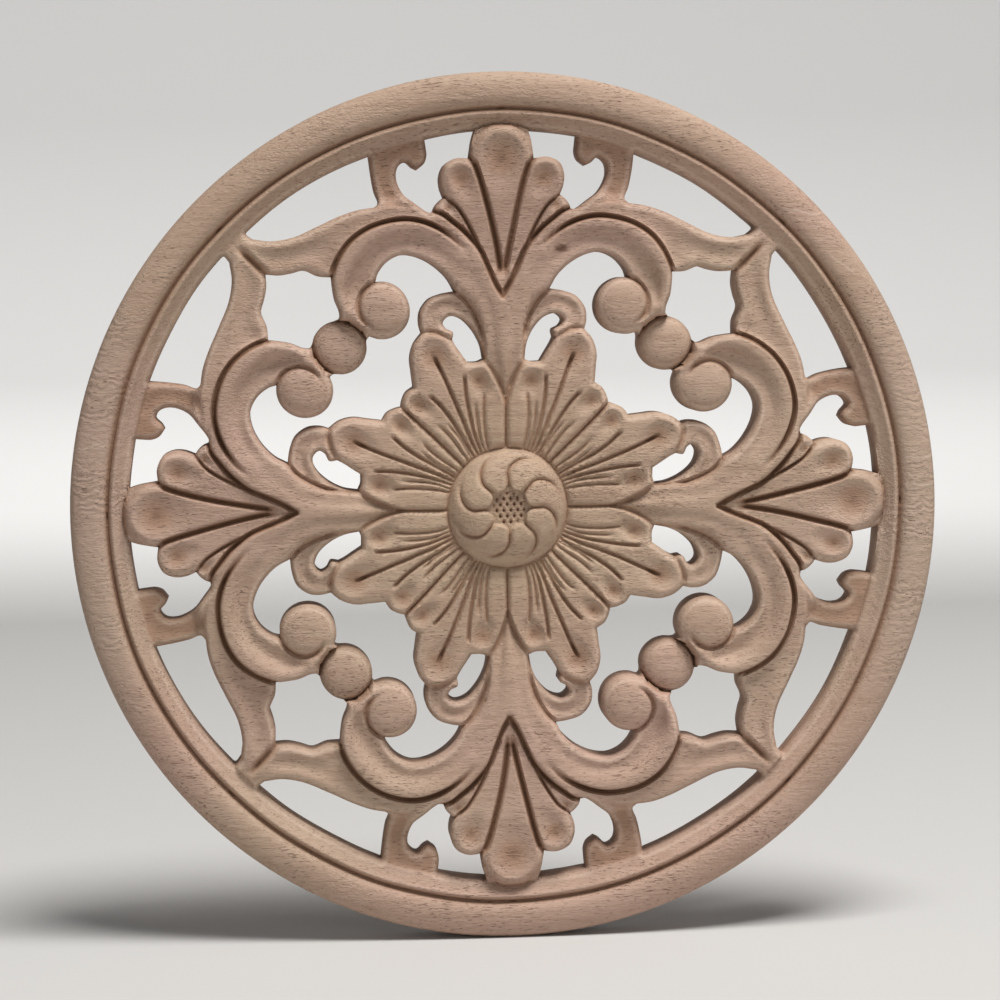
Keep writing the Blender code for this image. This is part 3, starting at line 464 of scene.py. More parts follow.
def relief(points):
    """Height of the finished carving and how hollow each point is, as a tint of tool burn and painted
    shade, below zero for the painted highlight along the edges.
    """
    points = np.asarray(points, dtype=float)
    r = np.hypot(points[:, 0], points[:, 1])
    body = body_height(points)
    ring = np.interp(r, [p[0] for p in RING_LINE], [p[1] for p in RING_LINE])
    mix = np.clip((r - RING_INNER + SEAM / 2.0) / SEAM, 0.0, 1.0)
    tip = inside(points, [TIP_AREA])
    mix = np.where(tip, 0.0, mix)
    face = body * (1.0 - mix) + ring * mix
    drop = np.zeros(len(points))
    # distance to the outlines, plain and as a share of each rounded border
    edge = np.full(len(points), 9.0)
    rim = np.full(len(points), 9.0)
    for line, border in zip(OUTLINES, BORDERS):
        near, distance, _ = within(points, line, EDGE_REACH)
        edge[near] = np.minimum(edge[near], distance)
        rim[near] = np.minimum(rim[near], distance / border)
    near, distance, _ = within(points, TIP_LINE, LOBE_BORDER)
    rim[near] = np.minimum(rim[near], np.where(tip[near], distance / LOBE_BORDER, 9.0))
    # the middle lobe's border follows its scoop and sinks further towards the ring
    _, centre, across, along, _, _ = SCOOPS[0]
    oval = np.hypot((points[:, 0] - centre[0]) / across, (points[:, 1] - centre[1]) / along)
    crest = (tip | (r < RING_INNER)) & (points[:, 1] > centre[1]) & (points[:, 0] < LOBE_HALF)
    rim = np.where(crest, np.minimum(rim, 1.0 - (oval - 1.0) * across / LOBE_BORDER), rim)
    sunk = np.where(crest, 1.0 + 0.75 * np.clip((points[:, 1] - 82.5) / 3.5, 0.0, 1.0), 1.0)
    over = (round_over(rim) * sunk) ** 3
    for line, (_, _, depth, half, fade_in, fade_out) in zip(CUT_LINES, CUTS):
        near, distance, share = within(points, line, half)
        fade = np.minimum(np.where(share < fade_in, share / max(fade_in, 1e-6), 1.0),
                          np.where(1.0 - share < fade_out, (1.0 - share) / max(fade_out, 1e-6), 1.0))
        drop[near] += (depth * fade * np.clip(1.0 - (distance / half) ** 1.7, 0.0, 1.0) ** 1.2) ** 3
    ditch = np.clip(1.0 - np.abs(r - DOME_RADIUS) / DITCH_HALF, 0.0, 1.0)
    drop += (DITCH_DEPTH * ditch ** 1.5) ** 3
    # tints: tool burn and painted shade in the cuts, the ring's groove and the scoops, painted shade on the
    # low pieces, painted highlight on the edges
    groove = np.where(r > 90.2, 0.95 * np.clip(10.6 - ring, 0.0, 3.0) * (r < 93.0), 0.0)
    # painted shade on the low pieces, where the ring shades them, and along the middle lobe's top border
    low = 0.52 * np.clip(9.1 - face, 0.0, 1.6) * (r < RING_INNER)
    low += 0.5 * crest * np.clip(1.0 - rim, 0.0, 1.0) * np.clip((points[:, 1] - 79.0) / 4.0, 0.0, 1.0)
    pale = 1.0 - 0.38 * np.clip((34.0 - r) / 14.0, 0.0, 1.0)
    # the depth of the cuts gives tool burn and painted shade, weaker near the centre
    hollow = np.cbrt(drop) * pale + groove + low
    # tool burn and painted shade in the scoops
    for _, centre, across, _, _, _ in SCOOPS:
        d = np.hypot(points[:, 0] - centre[0], points[:, 1] - centre[1]) / across
        hollow += 1.15 * np.clip(1.05 - d, 0.0, 1.0)
    # painted highlight along the rounded edges of the outlines
    hollow -= 0.8 * np.clip(1.0 - np.abs(edge - 0.9) / 0.8, 0.0, 1.0)
    return face - np.cbrt(drop + over), hollow


def dome_height(points):
    """Height of the centre dome with its whirl of petals round a seed disc, and its tint: tool burn and
    painted shade in the cuts, the seed disc's holes and round its foot.
    """
    points = np.asarray(points, dtype=float)
    r = np.hypot(points[:, 0], points[:, 1])
    cap = DOME_HEIGHT - DOME_FALL * np.clip((r - DOME_FLAT) / (DOME_RADIUS - DOME_FLAT), 0.0, 1.0) ** 2.4
    drop = np.zeros(len(points))
    for line in WHIRL_LINES:
        near, distance, share = within(points, line, PETAL_CUT_HALF)
        fade = np.clip((1.0 - share) / 0.5, 0.0, 1.0)
        side = np.clip(1.0 - distance / PETAL_CUT_HALF, 0.0, 1.0)
        drop[near] += (PETAL_CUT_DEPTH * fade * side ** 1.7) ** 3
    drop = np.cbrt(drop)
    heads = np.full(len(points), 1e9)
    for k in range(PETALS):
        head = polar(PETAL_HEAD_PLACE, 22.5 + k * 360.0 / PETALS)
        heads = np.minimum(heads, np.hypot(points[:, 0] - head[0], points[:, 1] - head[1]))
    # the sunk seed disc lies between the petals' heads, and small holes are drilled in it
    well = np.clip((heads - PETAL_HEAD_RADIUS) / 0.55, 0.0, 1.0) * np.clip((6.4 - r) / 0.8, 0.0, 1.0)
    well = well * well * (3.0 - 2.0 * well)
    p = (points[:, 0] - SEED_SHIFT[0]) / SEED_PITCH[0]
    q = (points[:, 1] - SEED_SHIFT[1]) / SEED_PITCH[1]
    lattice = np.minimum(np.cos(2.0 * math.pi * (p + q)), np.cos(2.0 * math.pi * (p - q)))
    holes = np.clip((lattice + 0.3) / 1.1, 0.0, 1.0) * np.clip((4.0 - r) / 0.5, 0.0, 1.0)
    seed = SEED_DEPTH - SEED_SWELL * np.clip(1.0 - r / 4.4, 0.0, 1.0) + SEED_HOLE_DEPTH * holes
    # tool burn and painted shade in the whirl's cuts, painted shade over the seed disc and in its holes
    tint = 0.85 * drop * (1.0 - well) + (0.3 + 1.2 * holes) * well
    drop = drop * (1.0 - well) + np.maximum(drop, seed) * well
    # painted shade round the dome's foot
    rim = np.clip(1.0 - (DOME_RADIUS - r) / 1.6, 0.0, 1.0)
    return cap - drop - 0.6 * rim ** 2, tint + 0.3 * rim


class Plan:
    """Points and fixed edges of a plan, ready to be triangulated."""

    def __init__(self):
        self.points = []
        self.edges = []
        self.cells = {}

    def find(self, p, gap):
        i, j = int(p[0] // 1.0), int(p[1] // 1.0)
        best = None
        for a in (i - 1, i, i + 1):
            for b in (j - 1, j, j + 1):
                for k in self.cells.get((a, b), ()):
                    d = math.dist(self.points[k], p)
                    if d < gap:
                        gap = d
                        best = k
        return best

    def add(self, p, gap=1e-4):
        i = self.find(p, gap)
        if i is None:
            self.points.append((float(p[0]), float(p[1])))
            i = len(self.points) - 1
            self.cells.setdefault((int(p[0] // 1.0), int(p[1] // 1.0)), []).append(i)
        return i

    def chain(self, pts, gap=1e-4):
        ids = [self.add(p, gap) for p in pts]
        self.edges += [(a, b) for a, b in zip(ids, ids[1:]) if a != b]

    def triangles(self, loops):
        """Triangles inside the loops, wound anticlockwise."""
        verts, _, faces, origins, _, _ = delaunay_2d_cdt(
            [Vector(p) for p in self.points], self.edges, [], 0, 1e-5)
        pts = np.array([self.points[o[0]] if o else (v.x, v.y) for v, o in zip(verts, origins)])
        faces = np.array([f for f in faces if len(f) == 3])
        a, b, c = pts[faces[:, 0]], pts[faces[:, 1]], pts[faces[:, 2]]
        area = (b[:, 0] - a[:, 0]) * (c[:, 1] - a[:, 1]) - (b[:, 1] - a[:, 1]) * (c[:, 0] - a[:, 0])
        faces[area < 0.0] = faces[area < 0.0][:, ::-1]
        keep = inside((a + b + c) / 3.0, loops) & (np.abs(area) > 1e-7)
        return pts, faces[keep]


def loop_points(pieces):
    pts = []
    for piece in pieces:
        part = spaced(smooth(piece, 16), STEP, TURN)
        pts += part if not pts else part[1:]
    return pts


def beside(line, distance, step):
    """Points at a distance on the left of a line."""
    pts = spaced(line, step, TURN)
    out = []
    for i in range(len(pts)):
        a = np.array(pts[max(i - 1, 0)])
        b = np.array(pts[min(i + 1, len(pts) - 1)])
        d = (b - a) / max(np.linalg.norm(b - a), 1e-9)
        out.append((pts[i][0] - d[1] * distance, pts[i][1] + d[0] * distance))
    return out


def circle_arc(radius, count):
    pts = [polar(radius, 45.0 * i / count) for i in range(count + 1)]
    pts[0] = (0.0, radius)
    pts[-1] = (radius * math.sqrt(0.5), radius * math.sqrt(0.5))
    return pts


def scatter_beside_lines(scatter):
    """Rows of points beside the outlines and the cuts, and round the scoops."""
    for piece in OUTLINES:
        for depth, gap in ((0.16, 0.12), (0.5, 0.28), (1.0, 0.36)):
            for side in (-depth, depth):
                scatter(beside(piece, side, STEP)[1:-1], 0.9 * depth, gap)
    for line, (_, _, _, half, _, _) in zip(CUT_LINES, CUTS):
        for share, gap in ((0.33, 0.14), (0.68, 0.15), (1.0, 0.18), (1.4, 0.24)):
            for side in (-share * half, share * half):
                scatter(beside(line, side, BESIDE_STEP), 0.15, gap)
    for _, centre, across, along, lean, _ in SCOOPS:
        c, t = math.cos(math.radians(lean)), math.sin(math.radians(lean))
        for share in (1.02, 0.96, 0.88, 0.76):
            oval = [(across * share * math.cos(0.1 * k), along * share * math.sin(0.1 * k))
                    for k in range(-16, 47)]
            scatter([(centre[0] + c * x + t * y, centre[1] - t * x + c * y) for x, y in oval], 0.2, 0.2)


def scatter_between_lines(scatter):
    """Points beside the middle lobe's tip, in rows on the ring, and evenly over all the rest."""
    scatter([p for side in (0.3, -0.5, -0.9) for p in beside(TIP_LINE, side, CUT_STEP)], 0.15, 0.2)
    for radius in (RING_INNER - 0.25, RING_INNER - 0.05, RING_INNER + 0.15):
        scatter(circle_arc(radius, 2 * RING_SIDES)[1:-1], 0.12, 0.15)
    for radius in RING_ROWS:
        scatter(circle_arc(radius, RING_SIDES)[1:-1], 0.2, 0.2)
    row = FILL * math.sqrt(0.75)
    columns = int(RING_INNER * math.sqrt(0.5) / FILL) + 3
    grid = [((i + 0.5 * (j % 2)) * FILL, j * row)
            for j in range(int(RING_INNER / row) + 2) for i in range(columns)]
    grid = [p for p in grid if p[0] < p[1] and DOME_RADIUS < math.hypot(*p) < RING_INNER]
    scatter(grid, 0.32, 0.62 * FILL)


def back_plan(flat, holes):
    """Plain plan of the flat back on the same outlines."""
    plan = Plan()
    plan.chain(flat + flat[:1])
    for hole in holes:
        plan.chain(hole + hole[:1])
    return plan.triangles([flat] + holes)


def octant():
    """Fine plan of one eighth of the disc, and the lines that bound it."""
    root2 = math.sqrt(0.5)
    large = loop_points(LARGE_OPENING)
    diagonal = loop_points(DIAGONAL_OPENING)
    for chain in (large, diagonal):
        for k in (0, -1):
            m = (chain[k][0] + chain[k][1]) / 2.0
            chain[k] = (m, m)
    holes = [loop_points(o)[:-1] for o in (HOOK_OPENING, CRESCENT_OPENING, CURL_OPENING)]
    rim = circle_arc(DISC_RADIUS, RING_SIDES)
    foot = circle_arc(DOME_RADIUS, FOOT_SIDES)
    plan = Plan()
    for line in (rim, foot, large, diagonal):
        plan.chain(line)
    for hole in holes:
        plan.chain(hole + hole[:1])
    border = rim + diagonal[::-1] + large[::-1] + foot[::-1]
    loops = [border] + holes
    borders = [border + border[:1]] + [hole + hole[:1] for hole in holes]

    def clear(pts, room):
        pts = np.asarray(pts, dtype=float).reshape(-1, 2)
        ok = inside(pts, loops) & (pts[:, 0] > room) & ((pts[:, 1] - pts[:, 0]) * root2 > room)
        for line in borders:
            ok &= nearest(pts, line)[0] > room
        return ok

    def seam(start, stop):
        inner = [s for s in RING_ROWS if start < s < stop]
        body = min(stop, RING_INNER)
        n = max(1, round((body - start) / FILL)) if body > start else 0
        pts = [start + (body - start) * i / n for i in range(n)] if n else [start]
        return [s for s in pts if not inner or s < inner[0] - 0.3] + inner + [stop]

    plan.chain([(0.0, s) for s in seam(DOME_RADIUS, DISC_RADIUS)])
    spans = ((DOME_RADIUS, math.hypot(*large[0])), (math.hypot(*large[-1]), math.hypot(*diagonal[0])),
             (math.hypot(*diagonal[-1]), DISC_RADIUS))
    for a, b in spans:
        pts = [(s * root2, s * root2) for s in seam(a, b)]
        pts[0] = plan.points[plan.find(pts[0], 0.01)]
        pts[-1] = plan.points[plan.find(pts[-1], 0.01)]
        plan.chain(pts)

    def scatter(pts, room, gap):
        ok = clear(pts, room)
        for p, good in zip(pts, ok):
            if good:
                plan.add(p, gap)

    for line in CUT_LINES:
        pts = spaced(line, CUT_STEP, TURN)
        ok = clear(pts, 0.22)
        plan.chain([p for i, p in enumerate(pts) if ok[i] or i in (0, len(pts) - 1)], 0.2)
    scatter_beside_lines(scatter)
    for line in (TIP_LINE, beside(TIP_LINE, -0.22, CUT_STEP)):
        pts = spaced(line, CUT_STEP, TURN)
        ok = clear(pts, 0.12)
        plan.chain([p for p, good in zip(pts, ok) if good], 0.1)
    scatter_between_lines(scatter)
    pts, faces = plan.triangles(loops)
    back_pts, back_faces = back_plan(rim + diagonal[::-1] + large[::-1] + [(0.0, 0.0)], holes)
    edges = [rim, large, diagonal] + [hole + hole[:1] for hole in holes]
    return pts, faces, back_pts, back_faces, edges, foot


def dome(foot):
    """Fine plan of the centre dome."""
    ring = set()
    for p in foot:
        for a, b in ((1, 1), (1, -1), (-1, 1), (-1, -1)):
            ring.add((round(a * p[0], 9) + 0.0, round(b * p[1], 9) + 0.0))
            ring.add((round(a * p[1], 9) + 0.0, round(b * p[0], 9) + 0.0))
    ring = sorted(ring, key=lambda p: math.atan2(p[0], p[1]))
    plan = Plan()
    plan.chain(ring + ring[:1])
    for line in WHIRL_LINES:
        plan.chain(spaced(line[: int(len(line) * 0.9)], 0.4, TURN), 0.15)
    for share in (0.25, 0.5, 0.8):
        for line in WHIRL_LINES:
            for side in (-share, share):
                for p in beside(line[: int(len(line) * 0.9)], side, 0.42):
                    if math.hypot(*p) < DOME_RADIUS - 0.3:
                        plan.add(p, 0.2)
    row = math.sqrt(0.75)
    for step, low, high in ((0.27, 0.0, 5.2), (0.5, 5.2, DOME_RADIUS - 0.35)):
        n = int(high / (step * row)) + 1
        for j in range(-n, n + 1):
            for i in range(-n - 1, n + 2):
                p = ((i + 0.5 * (j % 2)) * step, j * step * row)
                if low <= math.hypot(*p) < high:
                    plan.add(p, 0.62 * step)
    return plan.triangles([ring])


def by_hand(verts):
    """Small drift of the carving off true symmetry, fading to none at the outer edge."""
    x, y, z = verts.T
    fade = np.clip((97.0 - np.hypot(x, z)) / 12.0, 0.0, 1.0)
    dx = fade * (0.2 * np.sin(z / 13.0 + 1.0) + 0.13 * np.sin(z / 5.1 + x / 9.0 + 2.0))
    dz = fade * (0.2 * np.sin(x / 12.0 + 0.4) + 0.13 * np.sin(x / 4.7 - z / 8.0 + 1.0))
    low = 1.0 - fade * (0.012 + 0.012 * np.sin(x / 17.0 + z / 11.0))
    return np.column_stack((x + dx, y * low, z + dz))


def build_carving():
    pts, faces, back_pts, back_faces, edges, foot = octant()
    heights, depths = relief(pts)
    dome_pts, dome_faces = dome(foot)
    dome_heights, dome_depths = dome_height(dome_pts)
    on_foot = np.abs(np.hypot(pts[:, 0], pts[:, 1]) - DOME_RADIUS) < 1e-3
    heights[on_foot] = FOOT_HEIGHT
    on_foot = np.abs(np.hypot(dome_pts[:, 0], dome_pts[:, 1]) - DOME_RADIUS) < 0.05
    dome_heights[on_foot] = FOOT_HEIGHT
    verts = []
    depth_of = []
    known = {}
    polys = []

    def vertex(u, v, h, depth=0.0):
        key = (round(u, 5), round(v, 5), round(h, 5))
        if key not in known:
            known[key] = len(verts)
            verts.append((u, -h, v))
            depth_of.append(depth)
        return known[key]

    top = {(round(u, 5), round(v, 5)): (float(h), float(d))
           for (u, v), h, d in zip(pts, heights, depths)}
    for swap in (False, True):
        for a in (1.0, -1.0):
            for b in (1.0, -1.0):
                def place(p):
                    return (a * p[1], b * p[0]) if swap else (a * p[0], b * p[1])

                flip = (a * b < 0.0) != swap
                ids = [vertex(*place(p), float(h), float(d)) for p, h, d in zip(pts, heights, depths)]
                for f in faces:
                    tri = (ids[f[0]], ids[f[1]], ids[f[2]])
                    polys.append(tri[::-1] if flip else tri)
                ids = [vertex(*place(p), 0.0, 0.2) for p in back_pts]
                for f in back_faces:
                    tri = (ids[f[0]], ids[f[1]], ids[f[2]])
                    polys.append(tri if flip else tri[::-1])
                for line in edges:
                    rows = []
                    for p in line:
                        h, d = top[(round(p[0], 5), round(p[1], 5))]
                        q = place(p)
                        # the walls of the openings get tool burn and painted shade, strongest half way down
                        rows.append((vertex(*q, h, d), vertex(*q, h * 0.5, 0.9), vertex(*q, 0.0, 0.5)))
                    for s, t in zip(rows, rows[1:]):
                        for k in (0, 1):
                            polys.append((s[k], t[k], t[k + 1], s[k + 1]))
    ids = [vertex(*p, float(h), float(d)) for p, h, d in zip(dome_pts, dome_heights, dome_depths)]
    for f in dome_faces:
        polys.append((ids[f[0]], ids[f[1]], ids[f[2]]))

    mesh = bpy.data.meshes.new("carved_wood")
    mesh.from_pydata(by_hand(np.array(verts)) * MM, [], polys)
    bm = bmesh.new()
    bm.from_mesh(mesh)
    bmesh.ops.recalc_face_normals(bm, faces=bm.faces)
    bm.to_mesh(mesh)
    bm.free()
    # tint for each point: tool burn and painted shade in the hollows, painted highlight on the edges where
    # below zero
    layer = mesh.attributes.new("hollow", "FLOAT", "POINT")
    layer.data.foreach_set("value", depth_of)
    obj = bpy.data.objects.new("carved_wood", mesh)
    bpy.context.scene.collection.objects.link(obj)
    mesh.shade_smooth()
    mesh.set_sharp_from_angle(angle=math.radians(70.0))
    return obj


carving = build_carving()


class Graph:
    """Small helper that adds linked shader nodes."""

    def __init__(self, material):
        material.use_nodes = True
        self.tree = material.node_tree
        self.shader = self.tree.nodes["Principled BSDF"]

    def node(self, kind, links=None, **values):
        made = self.tree.nodes.new(kind)
        for name, value in values.items():
            setattr(made, name, value)
        for socket, source in (links or {}).items():
            if isinstance(source, bpy.types.NodeSocket):
                self.tree.links.new(source, made.inputs[socket])
            else:
                made.inputs[socket].default_value = source
        return made

    def stretched(self, source, scale):
        """Coordinates scaled differently along each axis."""
        return self.node("ShaderNodeMapping", {"Vector": source, "Scale": scale}).outputs["Vector"]

    def length(self, source):
        return self.node("ShaderNodeVectorMath", {0: source}, operation="LENGTH").outputs["Value"]

    def noise(self, source, scale, detail=2.0, rough=0.5):
        made = self.node("ShaderNodeTexNoise", {"Vector": source, "Scale": scale, "Detail": detail,
                                                "Roughness": rough})
        return made.outputs["Fac"]

    def band(self, source, low, high, start=0.0, stop=1.0):
        """Smooth step of a value between two limits."""
        made = self.node("ShaderNodeMapRange", {"Value": source, "From Min": low, "From Max": high,
                                                "To Min": start, "To Max": stop},
                         interpolation_type="SMOOTHSTEP")
        return made.outputs["Result"]

    def blend(self, factor, first, second, mode="MIX"):
        made = self.node("ShaderNodeMix", {"Factor": factor, "A": first, "B": second}, data_type="RGBA",
                         blend_type=mode)
        return made.outputs["Result"]

    def calc(self, first, second, mode="ADD"):
        """One mathematical operation on two values."""
        return self.node("ShaderNodeMath", {0: first, 1: second}, operation=mode).outputs["Value"]


def add_knot_and_shade_spots(g, base, place, fibres):
    """A dark knot and a patch of painted shade over the top, with frayed borders."""
    for centre, reach, strength in KNOT_AND_SHADE_SPOTS:
        away = g.node("ShaderNodeVectorMath", {0: place, 1: centre}, operation="SUBTRACT").outputs["Vector"]
        spot = g.calc(g.length(g.stretched(away, reach)), g.calc(fibres, 0.8, "MULTIPLY"))
        base = g.blend(g.band(spot, 0.7, 1.5, strength, 0.0), base, KNOT_AND_SHADE_BROWN)
    return base


def tear_mask(g, place, axes):
    """One on the torn fibres: thin, slightly wavy lines between two ends."""
    wave = g.noise(g.stretched(place, (260.0, 1.0, 1.0)), 1.0, 1.0)
    height = g.calc(axes["Z"], g.calc(wave, TEAR_WAVE, "MULTIPLY"))
    mask = None
    for (x0, z0), (x1, z1) in TEARS:
        slope = (z1 - z0) / (x1 - x0)
        off = g.calc(height, g.calc(axes["X"], slope, "MULTIPLY"), "SUBTRACT")
        off = g.calc(g.calc(off, slope * x0 - z0 - 0.5 * TEAR_WAVE), 0.0, "ABSOLUTE")
        mark = g.band(off, 0.00008, 0.00034, 1.0, 0.0)
        mark = g.calc(mark, g.band(axes["X"], x0 - 0.0004, x0 + 0.001), "MULTIPLY")
        mark = g.calc(mark, g.band(axes["X"], x1 - 0.001, x1 + 0.0004, 1.0, 0.0), "MULTIPLY")
        mask = mark if mask is None else g.calc(mask, mark, "MAXIMUM")
    return mask


def wood_material():
    """Pale pinkish wood, its grain along x, with open pores, painted highlights on torn fibres and edges,
    tool burn and painted shade in the hollows, and painted shade on the left and over the top.
    """
    mat = bpy.data.materials.new("pale_wood_carved")
    g = Graph(mat)
    place = g.node("ShaderNodeTexCoord").outputs["Object"]
    axes = g.node("ShaderNodeSeparateXYZ", {"Vector": place}).outputs
    bands = g.noise(g.stretched(place, (9.0, 70.0, 70.0)), 1.0, 2.0, 0.55)
    streaks = g.noise(g.stretched(place, (32.0, 900.0, 900.0)), 1.0, 1.5, 0.6)
    clouds = g.noise(g.stretched(place, (12.0, 22.0, 22.0)), 1.0, 1.0, 0.5)
    patches = g.noise(g.stretched(place, (45.0, 80.0, 80.0)), 1.0, 1.0, 0.6)
    long_pores = g.noise(g.stretched(place, (430.0, 3300.0, 3300.0)), 1.0, 1.0, 0.5)
    short_pores = g.noise(g.stretched(place, (900.0, 3600.0, 3600.0)), 1.0, 1.0, 0.5)
    fibres = g.noise(g.stretched(place, (520.0, 2400.0, 2400.0)), 1.0, 1.0, 0.65)
    pore = g.calc(g.band(long_pores, 0.62, 0.71), g.band(patches, 0.42, 0.62, 0.15, 1.0), "MULTIPLY")
    pore = g.calc(pore, g.calc(g.band(short_pores, 0.66, 0.75), 0.7, "MULTIPLY"), "MAXIMUM")
    side = g.band(g.calc(axes["X"], 0.0, "ABSOLUTE"), 0.080, 0.093)

    # end grain on the left and right of the ring: torn arcs that lean across the grain
    arcs = g.node("ShaderNodeTexWave", {"Vector": place, "Scale": 150.0,
                                        "Distortion": 9.0, "Detail": 1.0, "Detail Scale": 1.6,
                                        "Detail Roughness": 0.65}, bands_direction="Z").outputs["Fac"]
    torn = g.calc(g.calc(arcs, side, "MULTIPLY"), g.band(patches, 0.35, 0.6, 0.3, 1.0), "MULTIPLY")

    middle = g.calc(g.length(place), g.calc(clouds, 0.06, "MULTIPLY"))
    base = g.blend(g.band(clouds, 0.36, 0.64), PINK_WOOD, WARM_WOOD)
    base = g.blend(g.band(middle, 0.035, 0.09, 0.8, 0.0), base, MIDDLE_WOOD)
    base = g.blend(g.band(bands, 0.38, 0.62, 0.0, 0.45), base, BAND_BROWN)
    base = g.blend(g.band(streaks, 0.42, 0.72, 0.0, 0.46), base, STREAK_BROWN)
    base = g.blend(g.band(fibres, 0.5, 0.8, 0.0, 0.27), base, FIBRE_PALE)
    base = g.blend(g.calc(side, 0.5, "MULTIPLY"), base, END_GRAIN)
    # painted shade: the wood darkens towards the left, standing in for the light falling from the right
    base = g.blend(g.band(axes["X"], -0.11, 0.06, 0.16, 0.0), base, LEFT_PAINTED_SHADE)
    hollow = g.node("ShaderNodeAttribute", attribute_name="hollow").outputs["Fac"]
    # painted highlight along the rounded edges
    base = g.blend(g.band(hollow, -1.0, -0.1, 0.42, 0.0), base, EDGE_PAINTED_HIGHLIGHT)
    # tool burn and painted shade in the hollows, deepest in the cuts
    base = g.blend(g.band(hollow, 0.1, 0.8, 0.0, 0.5), base, HOLLOW_BURN_AND_SHADE)
    base = g.blend(g.band(hollow, 0.6, 1.6, 0.0, 0.92), base, DEEP_BURN_AND_SHADE)
    base = g.blend(g.calc(pore, 0.62, "MULTIPLY"), base, PORE_BROWN)
    # a dark knot, and a weak patch of painted shade over the top lobe and hooks
    base = add_knot_and_shade_spots(g, base, place, fibres)
    # painted highlight on the torn fibres, where they catch the light
    base = g.blend(g.calc(tear_mask(g, place, axes), 0.4, "MULTIPLY"), base, TORN_FIBRE_HIGHLIGHT)
    g.tree.links.new(base, g.shader.inputs["Base Color"])
    g.shader.inputs["Roughness"].default_value = 0.7
    g.shader.inputs["Specular IOR Level"].default_value = 0.28

    fuzz = g.noise(g.stretched(place, (1300.0, 2300.0, 2300.0)), 1.0, 1.0, 0.6)
    fuzz = g.calc(fuzz, g.band(g.noise(place, 38.0, 1.0, 0.6), 0.5, 0.64, 0.15, 1.3), "MULTIPLY")
    height = g.calc(g.calc(fibres, 0.62, "MULTIPLY"), g.calc(streaks, 0.4, "MULTIPLY"))
    height = g.calc(g.calc(height, g.calc(torn, 0.55, "MULTIPLY")), g.calc(fuzz, 0.78, "MULTIPLY"))
    height = g.calc(height, g.calc(pore, 1.1, "MULTIPLY"), "SUBTRACT")
    bump = g.node("ShaderNodeBump", {"Height": height, "Strength": 0.7, "Distance": 0.0003})
    g.tree.links.new(bump.outputs["Normal"], g.shader.inputs["Normal"])
    return mat


carving.data.materials.append(wood_material())
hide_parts("wood_applique")
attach(carving, "root")


# Floor just under the ring, in metres: its level, its profile as radius and height, its sides
FLOOR_LEVEL = -0.1001
FLOOR_PROFILE = [(1.6, 0.0), (2.4, 0.06), (3.2, 0.35), (3.8, 0.95), (4.1, 1.9), (4.2, 3.4)]
FLOOR_SIDES = 96
FLOOR_COLOUR = (0.56, 0.555, 0.545, 1.0)


def stage_floor():
    """Pale seamless floor that curves up far away on every side."""
    count = FLOOR_SIDES
    verts = [(0.0, 0.0, 0.0)]
    faces = []
    for r, h in FLOOR_PROFILE:
        for i in range(count):
            t = 2.0 * math.pi * i / count
            verts.append((r * math.cos(t), r * math.sin(t), h))
    for i in range(count):
        faces.append((0, 1 + i, 1 + (i + 1) % count))
    for k in range(len(FLOOR_PROFILE) - 1):
        for i in range(count):
            a = 1 + k * count + i
            b = 1 + k * count + (i + 1) % count
            faces.append((a, a + count, b + count, b))
    mesh = bpy.data.meshes.new("floor")
    mesh.from_pydata(verts, [], faces)
    mesh.shade_smooth()
    obj = bpy.data.objects.new("floor", mesh)
    obj.location = (0.0, 0.0, FLOOR_LEVEL)
    bpy.context.scene.collection.objects.link(obj)
    mat = bpy.data.materials.new("pale_floor")
    mat.use_nodes = True
    shader = mat.node_tree.nodes["Principled BSDF"]
    shader.inputs["Base Color"].default_value = FLOOR_COLOUR
    shader.inputs["Roughness"].default_value = 0.9
    mesh.materials.append(mat)
    return obj


stage_floor()


# Lights: name, place, target, size, watts, colour
LIGHTS = [
    ("key", (0.4, -0.62, 1.8), (0.0, 0.0, 0.0), (0.9, 0.72), 50.0, (1.0, 0.985, 0.965)),
    ("fill", (0.5, -1.2, 0.25), (0.0, 0.0, 0.0), (0.7, 0.4), 2.0, (1.0, 0.985, 0.97)),
    ("backdrop", (0.0, 0.9, 1.3), (0.0, 3.9, 0.9), (1.6, 0.6), 60.0, (1.0, 1.0, 1.0)),
]
WORLD_COLOUR = (0.95, 0.96, 0.98, 1.0)
WORLD_STRENGTH = 0.145


def aim(obj, target):
    direction = Vector(target) - obj.location
    obj.rotation_euler = direction.to_track_quat("-Z", "Y").to_euler()


def area_light(name, place, target, size, power, colour):
    light = bpy.data.lights.new(name, "AREA")
    light.shape = "RECTANGLE"
    light.size, light.size_y = size
    light.energy = power
    light.color = colour
    obj = bpy.data.objects.new(name, light)
    obj.location = place
    bpy.context.scene.collection.objects.link(obj)
    aim(obj, target)
    return obj


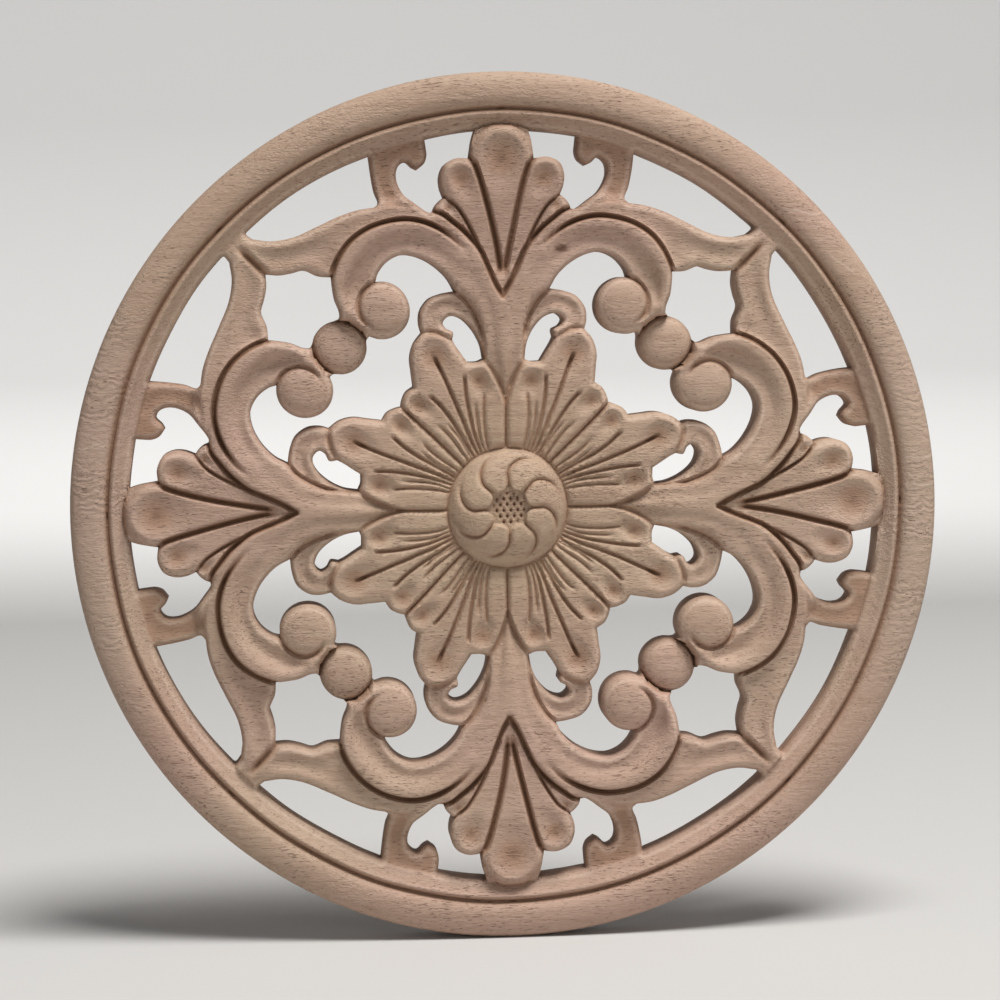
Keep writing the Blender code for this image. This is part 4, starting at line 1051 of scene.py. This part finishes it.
def light_studio():
    """Soft main light from above, a weak one in front, and one for the floor behind."""
    for light in LIGHTS:
        area_light(*light)
    world = bpy.data.worlds.new("studio")
    world.use_nodes = True
    background = world.node_tree.nodes["Background"]
    background.inputs["Color"].default_value = WORLD_COLOUR
    background.inputs["Strength"].default_value = WORLD_STRENGTH
    bpy.context.scene.world = world
    bpy.context.scene.view_settings.view_transform = "Standard"


light_studio()

# Camera at the photograph's viewing angle, slightly above and to the left: degrees, metres, and
# pixels of the picture for one millimetre, for the disc's centre and for the picture's width
AZIMUTH = -4.14
ELEVATION = 4.04
ROLL = -0.891
DISTANCE = 0.7457
PIXELS_PER_MM = 4.2848
CENTRE = (503.76, 505.16)
PICTURE_WIDTH = 1000.0
SENSOR_WIDTH = 36.0


def place_camera():
    az, el, roll = (math.radians(v) for v in (AZIMUTH, ELEVATION, ROLL))
    out = Vector((math.sin(az) * math.cos(el), -math.cos(az) * math.cos(el), math.sin(el)))
    side = (-out).cross(Vector((0.0, 0.0, 1.0))).normalized()
    up = side.cross(-out)
    right = math.cos(roll) * side + math.sin(roll) * up
    upward = -math.sin(roll) * side + math.cos(roll) * up
    focal = PIXELS_PER_MM * DISTANCE * 1000.0
    cam = bpy.data.cameras.new("camera")
    cam.sensor_fit = "HORIZONTAL"
    cam.sensor_width = SENSOR_WIDTH
    cam.lens = SENSOR_WIDTH * focal / PICTURE_WIDTH
    cam.clip_start = 0.01
    # aim so that the object's centre falls on its pixel, by a small turn of the camera
    dx = (CENTRE[0] - PICTURE_WIDTH / 2.0) / focal
    dy = (CENTRE[1] - PICTURE_WIDTH / 2.0) / focal
    forward = (-out - dx * right + dy * upward).normalized()
    right = (right - right.dot(forward) * forward).normalized()
    upward = right.cross(forward)
    obj = bpy.data.objects.new("camera", cam)
    obj.location = out * DISTANCE
    m = Matrix((right, upward, -forward)).transposed()
    obj.rotation_euler = m.to_euler()
    bpy.context.scene.collection.objects.link(obj)
    bpy.context.scene.camera = obj


place_camera()
